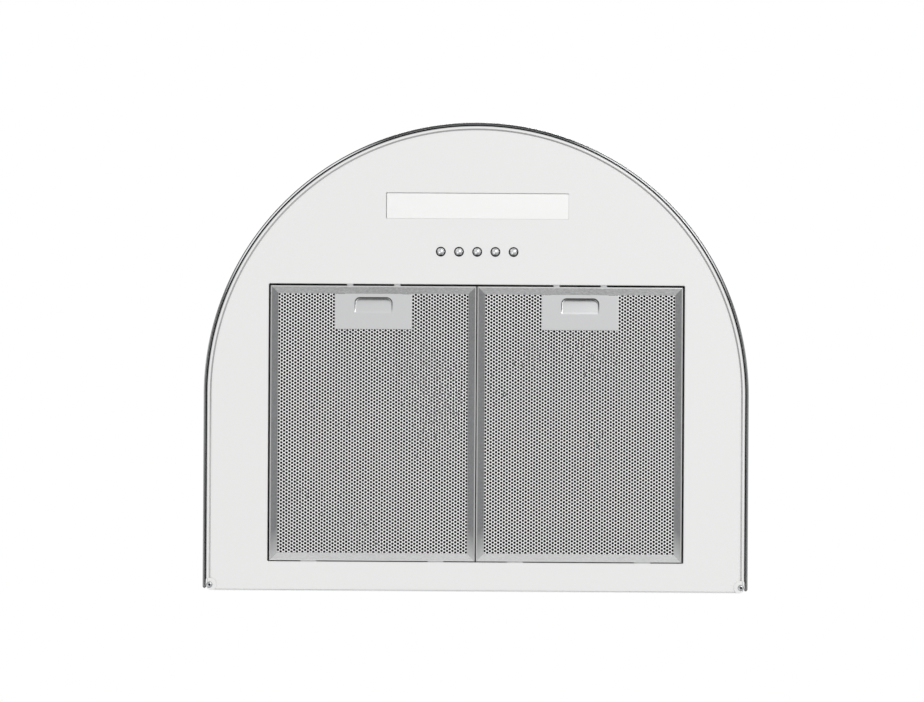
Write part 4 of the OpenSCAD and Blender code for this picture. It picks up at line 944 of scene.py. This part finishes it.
def scoop_depth(x, y):
    """How deep the finger scoop is: steep walls inside a rounded outline, and a floor that ramps out."""
    side = SCOOP_W / 2 - np.abs(x)
    front = y - SCOOP_FRONT
    across, along = SCOOP_R - side, SCOOP_R - front
    corner = SCOOP_R - np.hypot(across, along)
    inside = np.where((across > 0) & (along > 0), corner, np.minimum(side, front))
    ramp = np.clip(front / SCOOP_L, 0, 1)
    return SCOOP_DEEP * smooth(inside / 1.7) * (1 - 1.25 * ramp + 0.25 * ramp ** 2)


def make_latches():
    """Latch sliders: a pressed plate with a finger scoop, its carriage and tongues, and its springs.

    The scoop's steep walls, and a little of its floor, take the plate's dark second colour as painted shade.
    """
    x = spaced((-LATCH_W / 2, -22.4, -13, 0), (8, 39, 8))
    x = np.concatenate([x, -x[::-1][1:]])
    y = spaced((LATCH_FRONT, -323.5, -314, -304.5, LATCH_FRONT + LATCH_L), (3, 39, 13, 8))
    grid_x, grid_y = np.meshgrid(x, y, indexing="ij")
    for side, word in ((-1, "left"), (1, "right")):
        middle = side * FILTER_X
        depth = scoop_depth(grid_x, grid_y)
        slope_x, slope_y = np.gradient(depth, x, y)
        # Painted shade: dark on the scoop's steep walls, and a little on its floor, more on the right latch.
        scoop_shade = np.clip((slope_y - 0.5) / 1.5, 0, 1) + 0.8 * np.clip((np.abs(slope_x) - 0.8) / 2, 0, 1)
        scoop_shade = np.maximum(scoop_shade, SCOOP_FLOOR_SHADE[word] * np.clip(depth / 0.6, 0, 1))
        points = np.stack([grid_x + middle, grid_y, LATCH_LOW + depth], -1)
        shape = Shape().add(points, grid_faces(len(x), len(y)), shine=np.clip(scoop_shade, 0, 1))
        plate_piece = make_piece(f"latch_plate_{word}", shape, "latch_alloy", f"latch_slider_{word}",
                                 [f"latch_{word}"], 60)
        sheet = plate_piece.modifiers.new("wall", "SOLIDIFY")
        sheet.thickness, sheet.offset = LATCH_T * MM, 1.0
        soft = plate_piece.modifiers.new("soft edges", "BEVEL")
        soft.width, soft.segments, soft.limit_method = 0.3 * MM, 3, "ANGLE"
        soft.angle_limit = np.radians(60)
        behind = Shape()
        for way in (-1, 1):
            inner, outer = sorted(way * x for x in CARRIAGE_X)
            behind.add_shape(block([middle + inner, -325.2, 3.5],
                                   [middle + outer, POCKET_FRONT, CARRIAGE_TOP], 0.5, 0.3))
            tongue = middle + way * TONGUE_X
            wall = rectangle(middle + (inner + outer) / 2, SPRING_Z, outer - inner, 5.3, 0.5)
            pocket = plate([wall, circle(tongue, SPRING_Z, 2.1, 24)], POCKET_FRONT,
                           CARRIAGE_REAR - POCKET_FRONT)
            behind.add_shape(pocket, turn=UPRIGHT)
            behind.add_shape(block([tongue - 3.5, -341, 5], [tongue + 3.5, -324, 6.2], 1.2, 0.35))
            tip = (tongue, POCKET_FRONT + 0.3, SPRING_Z)
            wire = coil(tip, (tongue, SPRING_END, SPRING_Z), 1.8, 0.25, 9)
            spring = make_piece(f"latch_spring_{word}_{'ab'[way > 0]}", wire, "fine_zinc", f"filter_{word}",
                                [f"latch_springs_{word}"], 60)
            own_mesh(spring)
        behind.add_shape(block([middle - 23.6, -304, 3.0], [middle + 23.6, CARRIAGE_REAR, CARRIAGE_TOP],
                               0.5, 0.3))
        make_piece(f"latch_carriage_{word}", behind, "latch_alloy", f"latch_slider_{word}",
                   [f"latch_{word}"])


def make_screws():
    """Corner screws: a button head with a hexagon socket pressed into it, painted dark as shade, and a plain
    shank.
    """
    angle = np.linspace(0, 2 * np.pi, 64, endpoint=False)[:, None]
    r = np.concatenate([np.linspace(0, 2.0, 14), np.linspace(2.1, SCREW_HEAD_R, 8)])[None]
    x, y = r * np.cos(angle), r * np.sin(angle)
    flats = np.radians([0, 60, 120])[:, None, None]
    hexagon = np.abs(x * np.cos(flats) + y * np.sin(flats)).max(0)
    inside = smooth((1.15 - hexagon) / 0.12)
    recess = inside * (1.2 + np.clip(1 - r, 0, 1))
    head = -1.6 + 1.1 * (r / SCREW_HEAD_R) ** 3 + recess
    points = np.stack([x, y, head], -1)
    # Painted shade: the socket takes the screw's near-black second colour.
    shape = Shape().add(points, grid_faces(64, r.shape[1], wrap_rows=True), shine=inside)
    shape.add_shape(revolve([[SCREW_HEAD_R, -0.4], [SCREW_HEAD_R, 0], [1.45, 0], [1.45, 7], [0, 7]]))
    both = Shape()
    for side in (-1, 1):
        both.add_shape(shape, move=(side * SCREW_X, SCREW_Y, 0))
    make_piece("corner_screw_heads", both, "screw", "canopy", ["corner_screws"], 50)


def cover(r, centre, back, low, high):
    """Chimney cover: an open outline of sheet, carried up, with softened ends."""
    angle = np.linspace(np.pi, 2 * np.pi, 96)
    path = np.concatenate([
        rounded([[-r + CHIMNEY_LAP, back], [-r, back], [-r, centre]], [0, 3, 0], 6, closed=False)[:-1],
        np.stack([r * np.cos(angle), centre + r * np.sin(angle)], -1),
        rounded([[r, centre], [r, back], [r - CHIMNEY_LAP, back]], [0, 3, 0], 6, closed=False)[1:],
    ])
    way = np.gradient(path, axis=0)
    way /= np.linalg.norm(way, axis=1, keepdims=True)
    inward = np.stack([-way[:, 1], way[:, 0]], -1)
    section = rounded([[0, low], [0, high], [SHEET, high], [SHEET, low]], 0.35, 3)
    flat = path[:, None] + inward[:, None] * section[None, :, :1]
    height = np.broadcast_to(section[None, :, 1:], flat.shape[:2] + (1,))
    return swept(Shape(), np.concatenate([flat, height], -1))


def make_chimney():
    """The two chimney covers, the lower with its screw feet."""
    low, high = box_mm("chimney_lower")
    r = high[0]
    centre = low[1] + r
    lower = cover(r, centre, 0.0, low[2], high[2])
    for side in (-1, 1):
        foot = rectangle(side * (r - 11.25), centre, 21.5, 20, 1.5)
        hole = circle(side * (r - 12), centre, SCREW_HOLE_R, 24)
        lower.add_shape(plate([foot, hole], low[2], SHEET, 0.2))
    make_piece("chimney_lower_cover", lower, "enamel", "canopy", ["chimney_lower"])
    low, high = box_mm("chimney_upper")
    r = high[0]
    upper = cover(r, low[1] + r, high[1], low[2], high[2])
    make_piece("chimney_upper_cover", upper, "enamel", "upper_chimney", ["chimney_upper"])


HIDDEN_NODES = (
    ("rear_panel", "zinc", "canopy", "zinc_steel", 0.3),
    ("panel_clips", "fine_zinc", "canopy", "zinc_steel", 0.2),
    ("trim_tape", "foam", "canopy", "black_foam", 0.0),
    ("light_housing", "zinc", "canopy", "zinc_steel", 0.3),
    ("led_board", "white_plastic", "canopy", "white_plastic", 0.2),
    ("led_chips", "phosphor", "canopy", "led_phosphor", 0.15),
    ("led_driver", "white_plastic", "canopy", "white_plastic", 1.2),
    ("switch_module", "black_plastic", "canopy", "black_plastic", 0.4),
    ("switch_bracket", "zinc", "canopy", "zinc_steel", 0.3),
    ("fan_case_left", "zinc", "canopy", "zinc_steel", 0.0),
    ("fan_case_right", "zinc", "canopy", "zinc_steel", 0.0),
    ("impeller", "wheel", "fan_wheel", "impeller_steel", 0.0),
    ("motor", "motor", "canopy", "motor_paint", 1.5),
    ("motor_bracket", "fine_zinc", "canopy", "zinc_steel", 0.2),
    ("motor_sleeve", "foam", "canopy", "black_foam", 0.4),
    ("capacitor", "white_plastic", "canopy", "white_plastic", 0.8),
    ("capacitor_strap", "fine_zinc", "canopy", "zinc_steel", 0.15),
    ("outlet_gasket", "foam", "canopy", "black_foam", 0.3),
    ("fan_bolts", "fine_zinc", "canopy", "zinc_steel", 0.2),
    ("fan_nuts", "fine_zinc", "canopy", "zinc_steel", 0.2),
    ("duct_collar", "zinc", "canopy", "zinc_steel", 0.25),
    ("damper_flap_front", "latch_alloy", "front_flap", "filter_aluminium", 0.15),
    ("damper_flap_rear", "latch_alloy", "rear_flap", "filter_aluminium", 0.15),
    ("damper_rod", "fine_zinc", "canopy", "zinc_steel", 0.2),
    ("junction_box", "white_plastic", "canopy", "white_plastic", 0.6),
    ("junction_cover", "white_plastic", "canopy", "white_plastic", 0.4),
    ("cable_gland", "black_plastic", "canopy", "black_plastic", 0.3),
    ("wiring_leads", "sheath", "canopy", "grey_lead", 0.0),
    ("cable_clips", "black_plastic", "canopy", "black_plastic", 0.3),
    ("chimney_bracket", "zinc", "upper_chimney", "zinc_steel", 0.25),
    ("chimney_screws", "fine_zinc", "upper_chimney", "zinc_steel", 0.15),
    ("chimney_base_screws", "fine_zinc", "canopy", "zinc_steel", 0.15),
)


def make_insides():
    """The blower, duct, wiring and fixings, refined from their own solids."""
    for node, finish, body, slot, edge in HIDDEN_NODES:
        refined(node, finish, body, edge, 50 if node == "wiring_leads" else 32)


def plain_surface(name, colour, glow):
    """Stage surface: plain matt paint, lit evenly from within."""
    material = bpy.data.materials.new(name)
    material.use_nodes = True
    shader = material.node_tree.nodes["Principled BSDF"]
    shader.inputs["Base Color"].default_value = (*colour, 1)
    shader.inputs["Roughness"].default_value = 0.8
    shader.inputs["Emission Color"].default_value = (1, 1, 1, 1)
    shader.inputs["Emission Strength"].default_value = glow
    return material


def make_world(stage):
    """Even white world. Glossy surfaces see a dim room instead, with a few bright parts in it.

    These are four low screens at the room's corners, and the upper halves of its sides, with X or Y
    well away from nought. Each is a smooth step of the direction that is looked in.
    """
    world = bpy.data.worlds.new("even world")
    bpy.context.scene.world = world
    world.use_nodes = True
    tree = world.node_tree
    plain = tree.nodes["Background"]
    plain.inputs["Color"].default_value = (1, 1, 1, 1)
    plain.inputs["Strength"].default_value = stage.world_strength
    seen = add_node(tree, "ShaderNodeBackground", inputs={"Color": (1, 1, 1, 1)})
    path = add_node(tree, "ShaderNodeLightPath")
    way = add_node(tree, "ShaderNodeTexCoord")
    split = add_node(tree, "ShaderNodeSeparateXYZ")
    tree.links.new(way.outputs["Generated"], split.inputs[0])

    def step(value, start, end, low=0.0, high=1.0):
        made = add_node(tree, "ShaderNodeMapRange",
                        inputs={"From Min": start, "From Max": end, "To Min": low, "To Max": high})
        tree.links.new(value, made.inputs["Value"])
        return made.outputs[0]

    corner = math_node(tree, "MULTIPLY", split.outputs["X"], split.outputs["Y"])
    screens = step(math_node(tree, "ABSOLUTE", corner), 0.31, 0.42)
    below = step(split.outputs["Z"], 0.2, 0.45, 1.0, 0.0)
    lit = math_node(tree, "MULTIPLY", screens, below)
    room = math_node(tree, "MULTIPLY_ADD", lit, 1 - stage.horizon, stage.horizon)
    above = math_node(tree, "SUBTRACT", 1.0, below)
    for axis, strength in (("X", 0.8), ("Y", 0.25)):
        beside = step(math_node(tree, "ABSOLUTE", split.outputs[axis]), 0.56, 0.66, 0.0, strength)
        room = math_node(tree, "MAXIMUM", room, math_node(tree, "MULTIPLY", above, beside))
    tree.links.new(math_node(tree, "MAXIMUM", room, path.outputs["Is Camera Ray"]), seen.inputs["Strength"])
    mix = add_node(tree, "ShaderNodeMixShader")
    either = math_node(tree, "MAXIMUM", path.outputs["Is Camera Ray"], path.outputs["Is Glossy Ray"])
    tree.links.new(either, mix.inputs[0])
    tree.links.new(plain.outputs[0], mix.inputs[1])
    tree.links.new(seen.outputs[0], mix.inputs[2])
    tree.links.new(mix.outputs[0], tree.nodes["World Output"].inputs["Surface"])


def make_stage():
    """Pale floor, the world, soft lamps and the camera straight below the hood."""
    stage = bpy.context.scene.hood_stage
    bpy.ops.mesh.primitive_plane_add(size=60, location=(0, 0, stage.floor_height))
    floor = bpy.context.object
    floor.name = "floor"
    floor.data.materials.append(plain_surface("pale floor", (0.8, 0.8, 0.8), stage.floor_glow))
    make_world(stage)
    lamps = (
        ("key lamp", (1.7, -2.1, -2.9), 1.8, stage.key_power),
        ("fill lamp", (-2.0, 1.6, -2.6), 2.6, stage.fill_power),
        ("top lamp", (0.5, -1.5, 3.5), 2.0, stage.top_power),
    )
    target = Vector((0.0, -0.25, 0.1))
    for name, place, size, power in lamps:
        data = bpy.data.lights.new(name, "AREA")
        data.shape, data.size, data.energy = "DISK", size, power
        lamp = bpy.data.objects.new(name, data)
        lamp.location = place
        lamp.rotation_euler = (target - Vector(place)).to_track_quat("-Z", "Y").to_euler()
        bpy.context.scene.collection.objects.link(lamp)
    data = bpy.data.cameras.new("camera")
    data.lens = data.sensor_width * stage.camera_distance / stage.view_width
    data.clip_end = 100
    camera = bpy.data.objects.new("camera", data)
    camera.location = (stage.view_x, stage.view_y, -stage.camera_distance)
    camera.rotation_euler = (np.pi, 0, -stage.camera_roll)
    bpy.context.scene.collection.objects.link(camera)
    bpy.context.scene.camera = camera
    bpy.context.scene.view_settings.view_transform = "Standard"


# Add-on


class HoodColours(bpy.types.PropertyGroup):
    """Colours that a user may change."""

    enamel: bpy.props.FloatVectorProperty(
        name="Enamel", description="Colour of the enamelled steel", subtype="COLOR", size=3, min=0, max=1,
        default=(0.83, 0.83, 0.825))


class HoodFilter(bpy.types.PropertyGroup):
    """Sizes of the filters' punched sheets."""

    hole_step_x: bpy.props.FloatProperty(
        name="Column spacing", description="Spacing of the columns of holes", default=0.003, unit="LENGTH",
        precision=5)
    hole_step_y: bpy.props.FloatProperty(
        name="Hole spacing", description="Spacing of the holes in a column", default=0.00375, unit="LENGTH",
        precision=5)
    hole_width: bpy.props.FloatProperty(
        name="Hole width", description="Width of a hole", default=0.00305, unit="LENGTH", precision=5)


class HoodStage(bpy.types.PropertyGroup):
    """Camera, lamps and floor."""

    camera_distance: bpy.props.FloatProperty(
        name="Camera distance", description="Distance of the camera below the rim", default=3.0,
        unit="LENGTH")
    view_width: bpy.props.FloatProperty(
        name="View width", description="Width of the view at the rim", default=1.0154, unit="LENGTH")
    view_x: bpy.props.FloatProperty(
        name="View middle X", description="Where the camera stands across", default=-0.016, unit="LENGTH")
    view_y: bpy.props.FloatProperty(
        name="View middle Y", description="Where the camera stands from the wall", default=-0.2644,
        unit="LENGTH")
    camera_roll: bpy.props.FloatProperty(
        name="Camera roll", description="Turn of the camera about its view", default=0.0063, subtype="ANGLE")
    floor_height: bpy.props.FloatProperty(
        name="Floor height", description="Height of the floor", default=-4.2, unit="LENGTH")
    floor_glow: bpy.props.FloatProperty(
        name="Floor glow", description="Even light that the floor sends up", default=0.335)
    world_strength: bpy.props.FloatProperty(
        name="World strength", description="Even light from all round", default=0.4)
    horizon: bpy.props.FloatProperty(
        name="Horizon", description="How bright metal sees the dim parts of the room", default=0.06)
    key_power: bpy.props.FloatProperty(name="Key power", description="Power of the key lamp", default=42.0)
    fill_power: bpy.props.FloatProperty(name="Fill power", description="Power of the fill lamp", default=19.0)
    top_power: bpy.props.FloatProperty(name="Top power", description="Power of the top lamp", default=56.0)


class HOOD_OT_stage(bpy.types.Operator):
    """Makes the camera, floor, lamps and world"""

    bl_idname = "hood.stage"
    bl_label = "Stage"

    def execute(self, context):
        make_stage()
        return {"FINISHED"}


class HOOD_OT_finishes(bpy.types.Operator):
    """Makes every finish"""

    bl_idname = "hood.finishes"
    bl_label = "Finishes"

    def execute(self, context):
        FINISHES.update(make_finishes())
        return {"FINISHED"}


class HOOD_OT_canopy(bpy.types.Operator):
    """Makes the enamelled canopy"""

    bl_idname = "hood.canopy"
    bl_label = "Canopy"

    def execute(self, context):
        make_canopy()
        return {"FINISHED"}


class HOOD_OT_trim(bpy.types.Operator):
    """Makes the chrome trim strip"""

    bl_idname = "hood.trim"
    bl_label = "Trim strip"

    def execute(self, context):
        make_trim()
        return {"FINISHED"}


class HOOD_OT_underside(bpy.types.Operator):
    """Makes the underside panel and its corner screws"""

    bl_idname = "hood.underside"
    bl_label = "Underside panel"

    def execute(self, context):
        make_underside()
        make_screws()
        return {"FINISHED"}


class HOOD_OT_lamp(bpy.types.Operator):
    """Makes the lamp's lens"""

    bl_idname = "hood.lamp"
    bl_label = "Lamp lens"

    def execute(self, context):
        make_lens()
        return {"FINISHED"}


class HOOD_OT_buttons(bpy.types.Operator):
    """Makes the five push buttons and their springs"""

    bl_idname = "hood.buttons"
    bl_label = "Push buttons"

    def execute(self, context):
        make_buttons()
        return {"FINISHED"}


class HOOD_OT_filters(bpy.types.Operator):
    """Makes the two grease filters"""

    bl_idname = "hood.filters"
    bl_label = "Grease filters"

    def execute(self, context):
        make_filters()
        return {"FINISHED"}


class HOOD_OT_latches(bpy.types.Operator):
    """Makes the latch sliders and their springs"""

    bl_idname = "hood.latches"
    bl_label = "Filter latches"

    def execute(self, context):
        make_latches()
        return {"FINISHED"}


class HOOD_OT_chimney(bpy.types.Operator):
    """Makes the two chimney covers"""

    bl_idname = "hood.chimney"
    bl_label = "Chimney covers"

    def execute(self, context):
        make_chimney()
        return {"FINISHED"}


class HOOD_OT_insides(bpy.types.Operator):
    """Makes the blower, duct, wiring and fixings"""

    bl_idname = "hood.insides"
    bl_label = "Blower, duct and wiring"

    def execute(self, context):
        make_insides()
        return {"FINISHED"}


OPERATORS = (
    HOOD_OT_stage, HOOD_OT_finishes, HOOD_OT_canopy, HOOD_OT_trim, HOOD_OT_underside, HOOD_OT_lamp,
    HOOD_OT_buttons, HOOD_OT_filters, HOOD_OT_latches, HOOD_OT_chimney, HOOD_OT_insides,
)


class HOOD_PT_panel(bpy.types.Panel):
    """Sidebar panel with the sizes, the colours and the operators"""

    bl_idname = "HOOD_PT_panel"
    bl_label = "Range hood"
    bl_space_type = "VIEW_3D"
    bl_region_type = "UI"
    bl_category = "Range hood"

    def draw(self, context):
        layout = self.layout
        for settings in (context.scene.hood_colours, context.scene.hood_filter, context.scene.hood_stage):
            for key in settings.__annotations__:
                layout.prop(settings, key)
        for operator in OPERATORS:
            layout.operator(operator.bl_idname)


CLASSES = (HoodColours, HoodFilter, HoodStage, *OPERATORS, HOOD_PT_panel)
SETTINGS = {"hood_colours": HoodColours, "hood_filter": HoodFilter, "hood_stage": HoodStage}


def register():
    """Adds the classes and the scene's settings."""
    for item in CLASSES:
        bpy.utils.register_class(item)
    for key, group in SETTINGS.items():
        setattr(bpy.types.Scene, key, bpy.props.PointerProperty(type=group))


def unregister():
    """Removes them again."""
    for key in SETTINGS:
        delattr(bpy.types.Scene, key)
    for item in reversed(CLASSES):
        bpy.utils.unregister_class(item)


def main():
    """Makes the whole hood."""
    register()
    for step in ("stage", "finishes", "canopy", "trim", "underside", "lamp", "buttons", "filters", "latches",
                 "chimney", "insides"):
        getattr(bpy.ops.hood, step)()
    bpy.context.view_layer.update()


if __name__ == "__main__":
    main()
